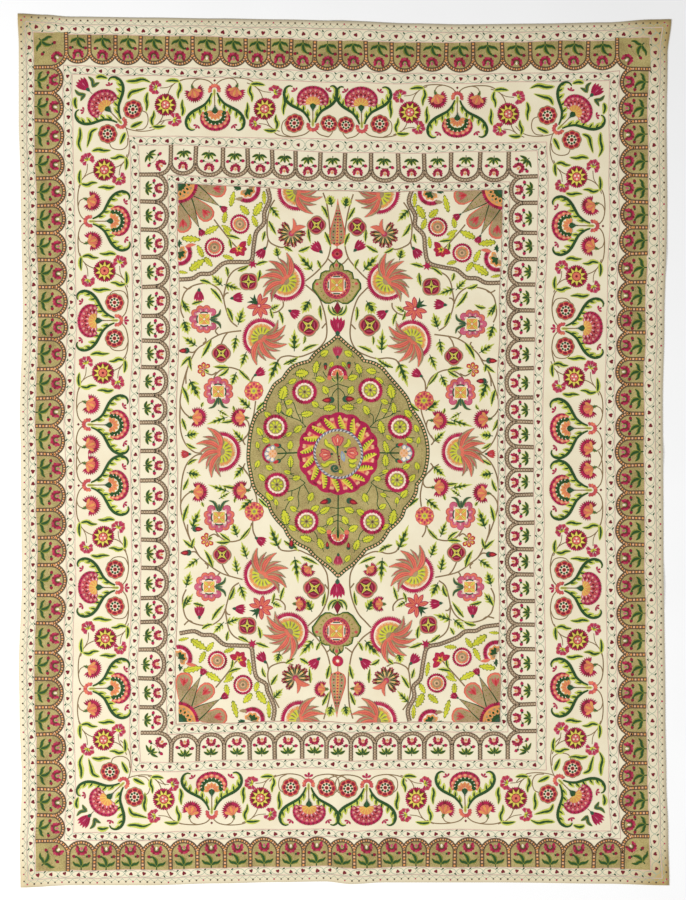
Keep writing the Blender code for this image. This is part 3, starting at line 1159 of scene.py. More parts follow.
SCALLOP_ENDS = {
    "left": (
        67, 93, 121, 151, 178.5, 206, 233, 259.5, 287, 316, 339.5, 369, 398, 426, 454, 482, 510, 538, 565,
        594.5, 623, 653, 679, 707, 734, 762, 789, 815, 841,
    ),
    "right": (
        69.5, 95, 121, 147.5, 175.5, 202, 227.5, 254, 282.5, 309, 332, 359, 385, 414, 438, 465, 492.5,
        518, 544.5, 572, 600, 627, 654, 679, 706.5, 734.5, 763, 787.5, 813, 836,
    ),
    "head": (
        66, 89, 115.5, 141, 167.5, 192.5, 220.5, 245.5, 269, 291.5, 315, 340, 365.5, 391.5, 418.5, 446.5,
        473, 502, 530, 560, 588, 617,
    ),
    "foot": (
        68, 94, 118, 143, 171, 197.5, 224.5, 250, 278, 304, 330, 354, 379, 404, 428, 455, 482, 508.5, 537,
        563, 594, 622.5,
    ),
}
ARCH_ENDS = {
    "left": (
        174.5, 202, 230, 257, 287, 316, 340.5, 367, 395.5, 423, 451, 480, 512, 540, 568, 598, 622, 649.5,
        678, 707, 733,
    ),
    "right": (
        177, 203, 232.5, 259, 285, 311, 339.5, 368, 397.5, 422, 447, 470, 495, 523, 549, 574, 601, 625,
        649.5, 677, 704, 731,
    ),
    "head": (171, 196, 223, 247.5, 272, 295.5, 320.5, 345, 371, 398, 424, 451, 480, 508.5),
    "foot": (171, 197.5, 224, 250, 275, 302, 326, 350.5, 375, 400, 424.5, 451.5, 479.5, 507.5),
}
ARCH_ROUND = 0.44


def cell_pens(side, root_row, tip_row, ends):
    """A pen at the root of each cell along a side, with half the cell's width and its depth."""
    for low, high in zip(ends, ends[1:]):
        along = (low + high) / 2
        root = band_point(side, along, root_row)
        depth = math.dist(root, band_point(side, along, tip_row))
        yield Pen(root[0], root[1], INWARD[side]), (high - low) / 2, depth


def divider(side, along, root_row, tip_row):
    """The braid between two cells, from the band's outer line nearly to the arches' ends."""
    return [band_point(side, along, root_row), band_point(side, along, root_row + (tip_row - root_row) * 0.6)]


def cell_arch(pen, half, depth, curl):
    return [pen.at(half * math.sin(math.radians(angle)), depth - curl + curl * math.cos(math.radians(angle)))
            for angle in range(-90, 91, 15)]


def cell_buds(pen, tone, reach=7.4):
    """Two buds that point away from the middle of a cell, on thin stems."""
    for side in (-1, 1):
        height = rng.uniform(12.4, 13.8)
        line("stem", pen.path([(0, 15), (side * 3.4, 14.6), (side * (reach - 2), height)]), 0.45, 1)
        bud = pen.pen(side * (reach - 2.2), height, side * 78)
        petal(tone, bud, 4.4, 3.3, 2, fat=0.5)
        petal("forest", bud.pen(0, -0.9), 2.2, 2.4, 3, fat=0.5)


def olive_sprig(pen, reach):
    """Two bending leaves to the sides and one towards the flower, on a short stem."""
    line("forest", pen.path([(0, 0), (0, 4.6)]), 1.4, 1)
    for side in (-1, 1):
        leaf = [(0, 3.0), (side * 3.4, 5.0), (side * reach * 0.7, 5.6), (side * reach, 8.6)]
        wavy_leaf(pen.path(leaf), 3.7, "forest", "moss", 1, 0.74)
    wavy_leaf(pen.path([(0, 3.4), (-0.2, 8), (-1.8, 11), (-5.0, 13.6)]), 3.8, "forest", "moss", 2, 0.74)


def arcade_sprig(pen, reach):
    """A palm of small leaves that droops towards the flower."""
    line("forest", pen.path([(0, 3.2), (0, 7)]), 0.8, 1)
    for side in (-1, 1):
        wavy_leaf(pen.path([(0, 6.4), (side * 3.6, 6.6), (side * reach, 8.6)]), 2.6, "forest", "moss", 1, 0.8)
        wavy_leaf(pen.path([(0, 6.6), (side * 2.4, 8.6), (side * 4.6, 12)]), 2.4, "forest", "leaf_light", 1)
    wavy_leaf(pen.path([(0, 6), (0.3, 9), (-0.2, 12.4)]), 2.6, "forest", "moss", 2, 0.8)


def olive_cell(pen, half, depth):
    """A scallop of the olive band: a leafy sprig, two buds and a half flower inside a beaded arch."""
    arch = cell_arch(pen, half, depth, half * 0.9)
    root = [pen.at(half, 0), pen.at(half * 0.33, 0), pen.at(-half * 0.33, 0), pen.at(-half, 0)]
    patch("olive", arch + root, 0, middle=pen.at(0, depth * 0.48))
    olive_braid(arch, tones=("bead", "orange"), pitch=2.5, bead=1.6)
    olive_sprig(pen, half * 0.68 + rng.uniform(-0.4, 0.8))
    cell_buds(pen, "deep_crimson")
    heart_tone = "cream" if rng.random() < 0.3 else "rose"
    half_flower(pen.pen(0, depth - 7.0, rng.uniform(-8, 8)), 6.2, heart_tone, "forest")


def arcade_cell(pen, half, depth):
    """A white arch with a small sprig, two buds and a half flower."""
    brown_braid(cell_arch(pen, half, depth, half * 0.86))
    arcade_sprig(pen.pen(rng.uniform(-0.4, 0.4), 0, rng.uniform(-4, 4)), 7.4)
    cell_buds(pen, "crimson")
    half_flower(pen.pen(0, depth - 7.0, rng.uniform(-8, 8)), 5.3, "orange", "salmon")


def corner_arch(outer, inner):
    """The line of a corner cell: from one root line round its free corner to the other."""
    (x0, y0), (x1, y1) = outer, inner
    bend = ARCH_ROUND * min(abs(x1 - x0), abs(y1 - y0))
    right, down = math.copysign(1, x1 - x0), math.copysign(1, y1 - y0)
    arc = []
    for step in range(7):
        turn = math.radians(15 * step)
        arc.append((x1 - right * bend * (1 - math.cos(turn)), y1 - down * bend * (1 - math.sin(turn))))
    return [(x1, y0)] + arc + [(x0, y1)]


def corner_cells(across, down):
    """The square cells of both bands at a corner, with their sprigs on the diagonal."""
    last_x, last_y = (0 if across == "left" else -1), (0 if down == "head" else -1)
    for row, ends, shift in ((OLIVE_ROOT, SCALLOP_ENDS, 8.0), (ARCADE_ROOT, ARCH_ENDS, 7.0)):
        outer = band_corner(across, down, row)
        inner = ends[down][last_x], ends[across][last_y]
        arch = corner_arch(outer, inner)
        pen = Pen(outer[0], outer[1], heading(outer, inner)).pen(0, shift)
        if row == OLIVE_ROOT:
            middle = ((outer[0] + inner[0]) / 2, (outer[1] + inner[1]) / 2)
            patch("olive", arch + [outer], 0, middle=middle)
            olive_braid(arch)
            olive_sprig(pen, 10.5)
            bud_tone, heart_tone, ring_tone = "deep_crimson", "cream", "forest"
        else:
            brown_braid(arch)
            arcade_sprig(pen, 8.5)
            bud_tone, heart_tone, ring_tone = "crimson", "orange", "salmon"
        cell_buds(pen, bud_tone, 8.0)
        half_flower(pen.pen(0, math.dist(outer, inner) - shift - 13.6), 6.0, heart_tone, ring_tone)


def scallops_and_arches():
    for side in SIDES:
        for pen, half, depth in cell_pens(side, OLIVE_ROOT, OLIVE_TIP, SCALLOP_ENDS[side]):
            olive_cell(pen, half, depth)
        for pen, half, depth in cell_pens(side, ARCADE_ROOT, ARCADE_TIP, ARCH_ENDS[side]):
            arcade_cell(pen, half, depth)
        for along in SCALLOP_ENDS[side][1:-1]:
            olive_braid(divider(side, along, OLIVE_ROOT, OLIVE_TIP), pitch=3.4)
        for along in ARCH_ENDS[side][1:-1]:
            brown_braid(divider(side, along, ARCADE_ROOT, ARCADE_TIP))
    for across in ("left", "right"):
        for down in ("head", "foot"):
            corner_cells(across, down)


# The main border: fans that face in ("B") or out ("A"), and the sunflowers between them

BORDER_FANS = (
    ("left", "B", 90, 221), ("left", "A", 117, 320.7), ("left", "B", 88.5, 424.6),
    ("left", "B", 88.5, 485.5), ("left", "A", 117.5, 587.6), ("left", "B", 90, 688.5),
    ("right", "B", 592.5, 226), ("right", "A", 563, 328.3), ("right", "B", 590.5, 428.6),
    ("right", "B", 590.5, 490), ("right", "A", 561.5, 588.5), ("right", "B", 591, 687.5),
    ("head", "B", 215, 90.5), ("head", "A", 312.8, 126), ("head", "A", 361.5, 127),
    ("head", "B", 457.2, 97.5), ("foot", "B", 211.8, 812.5), ("foot", "A", 309, 785),
    ("foot", "A", 366.5, 785.5), ("foot", "B", 465.2, 811.5),
)
SQUEEZED_FANS = {(312.8, 126): 1, (361.5, 127): -1}
BORDER_SUNFLOWERS = (
    ("left", -1, 104, 170), ("left", 1, 105, 271), ("left", -1, 103, 373), ("left", 1, 103.5, 536.5),
    ("left", -1, 105.5, 638.5), ("left", 1, 104, 739), ("right", -1, 576.5, 176.5),
    ("right", 1, 576.5, 276.5), ("right", -1, 573.5, 377.5), ("right", 1, 576.5, 540),
    ("right", -1, 577, 639.5), ("right", 1, 575.5, 738), ("head", -1, 165.5, 105),
    ("head", 1, 264.5, 108.5), ("head", -1, 409.5, 112.5), ("head", 1, 508.5, 114.5),
    ("foot", -1, 164, 799), ("foot", 1, 260.2, 797.5), ("foot", -1, 416, 798), ("foot", 1, 515.5, 798),
)


def sunflower_pen(side, forward, x, y):
    """Forward is 1 towards larger chart numbers along the side, and a points to the field."""
    if side in ("left", "right"):
        turn = 180 if forward > 0 else 0
        flip = 1 if (side == "left") == (forward < 0) else -1
    else:
        turn = 90 if forward > 0 else -90
        flip = 1 if (side == "head") == (forward > 0) else -1
    return Pen(x, y, turn, 1.0, flip)


def main_border():
    for side, kind, x, y in BORDER_FANS:
        pen = Pen(x, y, INWARD[side] + (180 if kind == "A" else 0))
        fan_motif(pen.pen(0, -5.2), kind, SQUEEZED_FANS.get((x, y), 0))
    for flower in BORDER_SUNFLOWERS:
        sunflower_group(sunflower_pen(*flower))
    for corner in CORNER_MOTIFS:
        corner_motif(*corner)


# The field, drawn for its head left quarter and laid over the other three, which a hand made a
# little different: each mark gives one spot's place in the four quarters.

FIELD_AXIS_X = 338.2
FIELD_AXIS_Y = 454.0
QUARTERS = {"hl": (1, 1), "hr": (-1, 1), "fl": (1, -1), "fr": (-1, -1)}
FIELD_MARKS = {
    "hl": (
        (178, 183), (248, 192), (268, 190), (266, 212), (256, 232.5), (251.5, 247), (252.6, 264),
        (237, 262), (223.6, 263), (200, 273.7), (179, 280), (240, 224), (214.4, 248), (240, 250),
        (226, 208.5), (201.6, 232.5), (183.4, 256), (297, 192), (285, 281), (262, 338), (221, 452.5),
        (249, 282), (309, 326), (221.7, 353.3), (205, 318), (218, 391), (291.7, 234), (259, 306),
        (254, 391), (199, 417), (239.5, 418), (202, 369), (199, 294.4), (237, 298.3), (261.5, 252),
        (318, 248), (259, 373), (184.5, 351), (316.2, 225.2), (311, 358), (290, 371), (271, 398),
        (254, 425), (248.5, 454), (338, 337), (178, 454), (338, 192),
    ),
    "hr": (
        (502, 190), (430, 195), (411, 192), (414.5, 216), (423.5, 236), (426.5, 250), (427, 266),
        (444, 268), (456.5, 270), (477, 278), (500, 282.5), (437.5, 227), (462.5, 253), (440, 251),
        (453, 214), (478, 236.5), (493, 262), (380, 195), (387, 281), (412, 340), (461, 451.5),
        (431, 287), (369, 325), (453.5, 356), (471, 323), (460.5, 392), (384, 234), (415, 309),
        (424.5, 401), (481, 419), (439, 421), (475, 369), (479, 297), (440, 305), (416, 252),
        (358.5, 247), (417, 374), (491.5, 361), (357, 227), (363, 359), (386, 374), (404, 397),
        (421, 422), (426.5, 454), (338.5, 337), (500, 454), (338, 193),
    ),
    "fl": (
        (179, 722), (252, 718), (273, 720), (268.5, 692), (256.5, 676), (251.5, 657), (252.5, 644),
        (238, 646), (224.5, 645), (203, 634.5), (180, 633.5), (243, 684.4), (217, 660.4), (240.5, 658),
        (228, 698), (202.5, 674.5), (183, 655), (300, 719), (288.5, 632), (263, 575), (221, 452.5),
        (247.5, 626), (314.5, 588), (222.5, 555), (210, 588), (219, 517.5), (296, 678), (261, 607.4),
        (253.7, 512), (200, 492), (241, 490.7), (205, 541), (199.5, 612), (239, 609), (262.6, 658),
        (315, 663), (260.3, 540.5), (186, 552.5), (319, 686), (308, 549), (291, 533), (273, 512),
        (257, 487), (248.5, 454), (338, 576), (178, 454), (338, 721),
    ),
    "fr": (
        (500, 722), (430, 720), (408.5, 720), (413, 697), (421, 677.5), (425, 660), (425, 644),
        (440, 644), (456.5, 638), (476, 630.5), (499, 624.5), (437, 682.5), (462, 657), (439, 658),
        (454.5, 697.5), (478.5, 674), (492, 650), (377, 720), (390, 636), (414, 573), (461, 451.5),
        (428, 625), (366, 588), (456, 552), (468.5, 588), (461, 515), (386, 681), (417, 605),
        (424.5, 516), (480, 493), (440, 487), (471, 541), (472.5, 611), (436.5, 604), (414, 660),
        (364, 662), (418, 540), (491, 555), (360, 685), (368, 548), (385, 539), (404, 510), (417, 485),
        (426.5, 454), (339, 575), (500, 454), (338.5, 721),
    ),
}
MARK_SOFTNESS = 2.5
MARK_FADE = 1.3


class Quarter:
    """One quarter of the field: it takes places of the head left quarter to its own."""

    def __init__(self, name):
        self.name = name
        self.sx, self.sy = QUARTERS[name]
        self.source = np.array(FIELD_MARKS["hl"], float)
        self.shift = np.array(FIELD_MARKS[name], float) - self.mirror(self.source)

    def mirror(self, points):
        points = np.array(points, float).reshape(-1, 2)
        x = FIELD_AXIS_X + self.sx * (points[:, 0] - FIELD_AXIS_X)
        y = FIELD_AXIS_Y + self.sy * (points[:, 1] - FIELD_AXIS_Y)
        return np.column_stack((x, y))

    def at(self, x, y):
        base = self.mirror([(x, y)])[0]
        if self.name == "hl":
            return float(base[0]), float(base[1])
        gap = ((self.source - np.array([x, y])) ** 2).sum(1)
        weight = 1.0 / (gap + MARK_SOFTNESS) ** MARK_FADE
        move = (self.shift * weight[:, None]).sum(0) / weight.sum()
        return float(base[0] + move[0]), float(base[1] + move[1])

    def path(self, points):
        return [self.at(x, y) for x, y in points]

    def pen(self, x, y, turn=0.0, size=1.0):
        place = self.at(x, y)
        flip = 1
        if self.sx < 0:
            turn, flip = -turn, -flip
        if self.sy < 0:
            turn, flip = 180 - turn, -flip
        return Pen(place[0], place[1], turn, size, flip)


FIELD_FLOWERS = (
    # kind, x, y, turn, size, quarters
    (lotus, 285, 281, -58, 1.0, "hl hr fl fr"),
    (lotus, 262, 338, 130, 1.0, "hl hr fl fr"),
    (jewel, 249, 282, 0, 1.0, "hl hr fl fr"),
    (jewel, 316.2, 225.2, 45, 0.98, "hl hr"),
    (jewel, 309, 326, 40, 1.12, "hl hr fl fr"),
    (jewel, 221.7, 353.3, 45, 0.98, "hl hr fl fr"),
    (peony, 204, 319, -90, 0.98, "hl hr fl fr"),
    (peony, 218, 391.5, 0, 1.02, "hl hr fl fr"),
    (spider_flower, 291.5, 234, 25, 1.0, "hl hr fl fr"),
    (star_daisy, 259, 306, 132, 1.0, "hl hr fl fr"),
    (round_rosette, 254, 391, 0, 1.0, "hl hr fl fr"),
    (half_carnation, 197, 417, 90, 1.0, "hl hr fl fr"),
    (half_carnation, 240.5, 418, -90, 1.0, "hl hr fl fr"),
    (flame_flower, 203, 369, -60, 0.94, "hl hr fl fr"),
    (half_carnation, 306, 341, -45, 0.76, "fl fr"),
    (half_carnation, 297, 307.5, 90, 0.78, "fl fr"),
    (half_carnation, 319, 222, -90, 0.8, "fl fr"),
    (pointed_flower, 238.5, 248.5, 140, 1.0, "hl hr fl fr"),
    (tulip, 199, 294.4, 180, 1.0, "hl fl fr"),
    (tulip, 237, 298.3, 85, 1.0, "hl hr fl fr"),
    (tulip, 261.5, 252, -142, 1.0, "hl hr fl fr"),
    (tulip, 318, 248, -45, 1.05, "hl hr fl fr"),
    (tulip, 294, 312.8, 120, 0.95, "hl hr"),
    (tulip, 259, 373, 60, 0.92, "hl hr fl"),
    (drop_bud, 184.5, 351, -90, 1.0, "hl hr fl fr"),
    (drop_bud, 195, 380, 90, 0.95, "hr fl"),
    (drop_bud, 290.5, 361, 180, 0.9, "fl"),
    (ring_rosette, 240, 224, 0, 1.0, "hl hr fl fr"),
    (ring_rosette, 214.4, 248, 0, 1.0, "hl hr fl fr"),
)
RING_RADIUS = 10.2

# Leaves of the field: root x and y, tip x and y, breadth
THISTLE_LEAVES = (
    (331, 206, 329, 196, 8), (271, 207, 280, 219, 7), (278, 257, 276, 247, 7), (312, 270, 299, 255, 9),
    (222, 285, 212, 275, 7), (226, 285, 241, 290, 7), (309, 301, 303, 313, 9), (271, 309, 280, 304, 5),
    (238, 324, 243, 309, 8), (184, 321, 188, 334, 8), (196, 346, 183, 337, 7), (236, 337, 234, 352, 7),
    (246, 353, 241, 367, 7), (294, 350, 295, 330, 9), (277, 361, 269, 383, 9), (236, 373, 231, 386, 7),
    (190, 381, 199, 399, 9), (250, 408, 238, 397, 8), (226, 418, 208, 424, 7), (187, 435, 199, 433, 8),
    (242, 441, 233, 430, 7), (184, 303, 190, 313, 6), (219, 411, 229, 417, 4), (289, 364, 299, 356, 5),
)
SLIM_LEAVES = (
    (269, 221, 276, 235, 3.4), (265, 231, 262, 241, 2.8), (321, 206, 327, 219, 3.2),
    (308, 228, 311, 243, 2.8), (325, 232, 331, 246, 3.4), (284, 247, 293, 252, 3.0),
    (299, 252, 311, 246, 3.4), (318, 260, 321, 269, 2.6), (256, 265, 268, 262, 3.2),
    (260, 270, 258, 282, 3.4), (226, 267, 228, 277, 2.8), (238, 271, 249, 265, 3.0),
    (200, 280, 212, 284, 3.2), (211, 288, 222, 303, 3.4), (182, 300, 186, 312, 3.2),
    (192, 304, 203, 301, 3.0), (320, 306, 322, 321, 2.8), (279, 311, 283, 324, 3.0),
    (227, 308, 232, 322, 3.6), (211, 340, 202, 358, 4.0), (302, 351, 318, 345, 3.0),
    (283, 365, 297, 358, 2.8), (191, 357, 181, 367, 3.2), (190, 357, 192, 371, 3.0),
    (229, 367, 214, 367, 3.4), (229, 368, 218, 376, 3.0), (239, 369, 250, 381, 2.8),
    (182, 387, 188, 404, 3.6), (257, 410, 266, 401, 3.0), (182, 418, 187, 430, 3.0),
    (187, 443, 197, 448, 2.8), (273, 318, 270, 308, 2.4), (236, 420, 221, 423, 3.0),
    (305, 336, 303, 344, 2.2), (233, 406, 236, 413, 2.0), (201, 407, 203, 402, 2.0),
    (227, 236, 240, 239, 3.0), (229, 239, 231, 249, 2.6),
)
LIME_LEAVES = (
    (224, 223, 226, 212, 5), (231, 206, 234, 192, 5), (249, 214, 241, 206, 6), (255, 215, 262, 203, 7),
    (257, 226, 253, 216, 5), (205, 234, 218, 227, 6), (183, 238, 200, 240, 6), (248, 245, 250, 234, 4),
    (203, 257, 198, 246, 5), (190, 270, 204, 260, 7), (205, 258, 212, 266, 5), (223, 256, 233, 259, 4),
    (178, 272, 187, 273, 3), (264, 192, 265, 204, 4), (224, 229, 230, 236, 4), (231, 231, 222, 226, 4),
)

FIELD_VINES = (
    ((323, 193), (326, 203), (328, 216), (330, 232), (331, 246), (328, 258), (322, 266), (314, 274),
     (305, 281)),
    ((328, 258), (332, 262), (334, 263)),
    ((305, 285), (311, 290), (318, 297), (323, 308), (326, 320), (327, 332), (325, 341), (318, 349),
     (308, 354), (298, 357), (288, 356), (280, 358), (277, 363)),
    ((283, 301), (283, 306), (278, 311), (270, 313)),
    ((275, 200), (271, 207), (268, 218), (267, 230), (268, 239), (272, 244), (282, 248), (291, 246)),
    ((268, 239), (266, 247), (262, 250)),
    ((252, 265), (242, 267), (234, 271), (229, 278), (226, 288), (224, 298), (226, 310), (230, 321),
     (237, 327)),
    ((224, 299), (220, 290), (212, 284), (203, 283), (192, 286), (185, 292), (182, 300), (181, 310),
     (184, 318)),
    ((241, 331), (231, 332), (221, 334), (213, 338), (205, 344), (198, 349), (193, 357), (188, 368),
     (184, 380), (181, 393), (180, 404), (184, 412), (190, 417)),
    ((180, 404), (180, 420), (182, 434), (187, 445), (195, 452), (202, 453)),
    ((228, 332), (224, 337), (221, 345)),
    ((218, 335), (215, 331), (218, 327)),
    ((213, 383), (215, 376), (221, 370), (230, 367), (240, 370), (247, 376), (251, 383)),
    ((238, 443), (245, 438), (249, 430), (248, 422), (244, 419)),
    ((249, 430), (254, 414), (256, 401)),
    ((206, 373), (212, 375), (217, 372)),
    ((252, 384), (252, 379), (255, 375)),
    ((186, 351), (193, 353), (198, 349)),
    ((186, 384), (186, 376), (188, 368)),
    ((214, 220), (220, 228), (227, 237), (233, 244), (237, 248)),
    ((322, 329), (326, 324)),
    ((192, 286), (188, 289), (183, 287)),
    ((223, 299), (226, 294), (229, 293)),
    ((203, 344), (206, 341), (205, 338)),
    ((246, 436), (243, 441), (245, 445)),
)
CORNER_BRAID = ((267.5, 189), (270, 200), (265, 212), (264, 223), (256, 232), (253, 246), (250.5, 260.5),
                (237, 262), (223.5, 263.5), (212, 273), (200, 274), (192, 278.5), (178.5, 280))


def leaf_pen(quarter, x0, y0, x1, y1):
    """A pen at a leaf's root that looks at its tip, and the leaf's length."""
    root = quarter.at(x0, y0)
    tip = quarter.at(x1, y1)
    return Pen(root[0], root[1], heading(root, tip)), math.dist(root, tip)


def lime_leaf(pen, length, width, rim="moss"):
    """A bright leaf with nicked edges, dark at its rim and down its middle."""
    side = []
    for i in range(11):
        t = i / 10
        swell = math.sin(math.pi * t ** 0.86) ** 0.62
        nick = 1.1 if i % 2 else 0.66
        side.append((width / 2 * swell * nick, length * t))
    shape = both_sides(side)
    wide = [(a * 1.24, (b - length / 2) * 1.14 + length / 2) for a, b in shape]
    patch(rim, pen.path(wide), 1, middle=pen.at(0, length / 2))
    patch("lime", pen.path(shape), 2, middle=pen.at(0, length / 2))
    line(rim, pen.path([(0, -0.6), (0, length * 0.6)]), 0.55, 3)


def corner_piece(quarter):
    """The quarter flower in a corner of the field: a striped disc, three round and two pointed petals."""
    hub = quarter.pen(178, 183, 90)
    fringe(hub, 17.0, 20.8, 0, 90, 14, 9, notch=0.07)
    for colour, radius, count, layer in (("orange", 17.2, 9, 8), ("sage", lobes(15.2, 16, 0.16), 19, 9),
                                         ("forest", lobes(8.6, 16, 0.12), 13, 11), ("teal", 4.6, 5, 12)):
        patch(colour, [hub.at(0, 0)] + around(hub, radius, count, 0, 90), layer)
    spray("orange", hub, (11, 34, 56, 79), 7.0, 5.0, 10, reach=7.4)
    spray("forest", hub, (11, 34, 56, 79), 3.6, 2.4, 11, reach=9.2)
    for angle, reach, width in ((8, 32, 18.0), (48, 33, 17.0), (83, 33, 17.5)):
        corner_round_petal(hub.spoke(angle, 17), reach, width)
    for base, tip, reach in ((23.4, 29.4, 47.5), (66.6, 64.8, 50.0)):
        corner_pointed_petal(hub.spoke(base, 18.6), hub.polar(reach, tip))


def corner_round_petal(leaf, length, width):
    """A salmon petal with a beige inside, strewn with green flecks round a small spray."""
    round_petal("scarlet", leaf, length, width, 1)
    round_petal("salmon", leaf, length - 0.4, width - 0.7, 2)
    round_petal("sage", leaf.pen(0, 0.6), length - 2.6, width - 3.2, 3)
    for spot in range(7):
        place = leaf.pen(rng.uniform(-4, 4), 6 + spot * (length - 11) / 7, rng.uniform(-60, 60))
        petal("moss", place, 1.8, 0.9, 4)
    spray("coral", leaf.pen(0, length * 0.56), (-22, 0, 22), length * 0.3, 2.8, 4, 0.62)
    petal("scarlet", leaf.pen(0, length * 0.58), length * 0.2, 2.4, 5)


def corner_pointed_petal(root, far):
    """A green and beige petal that runs to a point, with green flecks and a tulip at its tip."""
    foot = (root.x, root.y)
    leaf = Pen(root.x, root.y, heading(foot, far))
    length = math.dist(foot, far)
    for colour, share, tip, layer in (("forest", 1.0, 1.0, 6), ("sage", 0.82, 0.95, 7)):
        side = [(0, length * tip), (2.4 * share, length * 0.66), (5.0 * share, length * 0.34),
                (6.8 * share, 0)]
        outline = side + [(-a, b) for a, b in reversed(side[1:])]
        patch(colour, leaf.path(outline), layer, middle=leaf.at(0, length * 0.3))
    for spot in (5, 10, 15, 20):
        for side in (-1, 1):
            petal("moss", leaf.pen(side * rng.uniform(1.2, 2.8) * (1 - spot / 30), spot), 2.0, 1.1, 8)
    tulip(Pen(far[0], far[1], leaf.turn).pen(0, 4.6), 3.5)


ROUND_PETAL_SIDE = ((0, 0), (0.2, 0.2), (0.4, 0.5), (0.5, 0.72), (0.44, 0.88), (0.25, 0.97), (0, 1))


def round_petal(colour, pen, length, width, layer):
    shape = [(a * width, b * length) for a, b in both_sides(ROUND_PETAL_SIDE)]
    patch(colour, pen.path(shape), layer, middle=pen.at(0, length * 0.6))


def half_palmette(pen):
    """A half flower that the edge of the field cuts: a thick crimson crescent and dark leaves inside."""
    fringe(pen, 9.0, 13.6, -72, 72, 24, 4, notch=0.1)
    arc_line("rose", pen, 9.2, -72, 72, 0.8, 5)
    patch("cream", around(pen, 8.8, 18, -112, 112), 3, middle=pen.at(0, 2))
    spray("orange", pen, (-84, -40, 4, 48, 88), 8.4, 5.2, 4, 0.66)
    spray("forest", pen, (-40, 4, 48), 6.4, 3.2, 5)
    spray("sage", pen, (-84, 88), 6.4, 3.2, 5)
    petal("forest", pen.pen(0, -1.5), 6.4, 5.0, 6)


def edge_palmettes(quarter):
    """The two half flowers that the edge of the field cuts off, inside the corner piece."""
    half_palmette(quarter.pen(247.5, 190, 148))
    half_palmette(quarter.pen(179.5, 253, 122))
    curl_leaf("sage", quarter.pen(243, 198, -120), 7, 3.6, 3.0, 6)
    curl_leaf("salmon", quarter.pen(186, 247, 62), 10, 3.6, 3.0, 6)
    slim_leaf(quarter.pen(241, 189, -72), 8, 5, 0, "forest", "teal")
    slim_leaf(quarter.pen(181, 248, -8), 9, 4, 0, "forest", "teal")


def field_quarter(quarter):
    for kind, x, y, turn, size, where in FIELD_FLOWERS:
        if quarter.name in where.split():
            pen = quarter.pen(x, y, turn, size)
            if kind is ring_rosette:
                ring_rosette(pen, RING_RADIUS, "disc")
            else:
                kind(pen)
    lotus(quarter.pen(297, 191, 85))
    for x0, y0, x1, y1, breadth in THISTLE_LEAVES:
        pen, length = leaf_pen(quarter, x0, y0, x1, y1)
        thistle_leaf(pen, length * 1.08, breadth * rng.uniform(1.15, 1.35))
    for x0, y0, x1, y1, breadth in SLIM_LEAVES:
        pen, length = leaf_pen(quarter, x0, y0, x1, y1)
        slim_leaf(pen, length * 1.05, breadth * 1.35, rng.uniform(-1.2, 1.2))
    for x0, y0, x1, y1, breadth in LIME_LEAVES:
        pen, length = leaf_pen(quarter, x0, y0, x1, y1)
        lime_leaf(pen, length, breadth)
    for vine in FIELD_VINES:
        line("stem", curve(quarter.path(vine)), 1.45, 0)
    brown_braid(curve(quarter.path(CORNER_BRAID), 6))
    star("crimson", quarter.pen(252.6, 264, 20), 5.0, 2.2, 6, 5)
    corner_piece(quarter)
    edge_palmettes(quarter)


def end_of_field():
    """The two fans at the ends of the short axis, each with a bud between it and the field's edge."""
    lotus(Pen(221, 452, -90))
    tulip(Pen(186, 454, -90, 0.8), tone="scarlet", dark="coral")
    lotus(Pen(461, 452, 90, 1.0, -1))
    tulip(Pen(490.5, 454, 90, 0.8), tone="scarlet", dark="coral")


# The medallion in the middle: its outline, one row for each arc between two cusps
MEDALLION_ARCS = (
    ((337.5, 336), (331, 342), (324, 347), (317, 352), (312, 357), (309, 361)),
    ((309, 361), (300, 363.5), (292, 367), (286.5, 373), (283, 379)),
    ((283, 379), (275, 385), (270, 394), (266, 402), (265, 409)),
    ((265, 409), (258, 413), (253, 422), (250, 434), (248.5, 447), (248.5, 460), (251, 472), (253, 483)),
    ((253, 483), (256, 491), (262, 497), (268, 503)),
    ((268, 503), (271, 512), (277, 520), (285, 528)),
    ((285, 528), (289, 536), (297, 543), (308, 549)),
    ((308, 549), (314, 556), (323, 563), (331, 569), (338, 576)),
    ((338, 576), (345, 570), (352, 565), (359, 558), (366, 549)),
    ((366, 549), (375, 545), (382, 540), (388, 530)),
    ((388, 530), (395, 524), (401, 517), (404, 509)),
    ((404, 509), (411, 501), (416, 492), (417, 484)),
    ((417, 484), (424, 474), (427, 460), (427, 446), (424, 432), (419, 420), (411, 408)),
    ((411, 408), (408, 399), (402, 391), (394, 382)),
    ((394, 382), (388, 375), (382, 368), (374, 363), (364, 360.5)),
    ((364, 360.5), (361, 356), (355, 350.5), (349, 346), (343, 341), (337.5, 336)),
)
RIM_ROSETTES = (
    (304.7, 391.5), (370.3, 390.3), (275.2, 426.7), (399.9, 426.7), (277.3, 484.7), (397.6, 480.2),
    (307, 521), (372, 521.4),
)
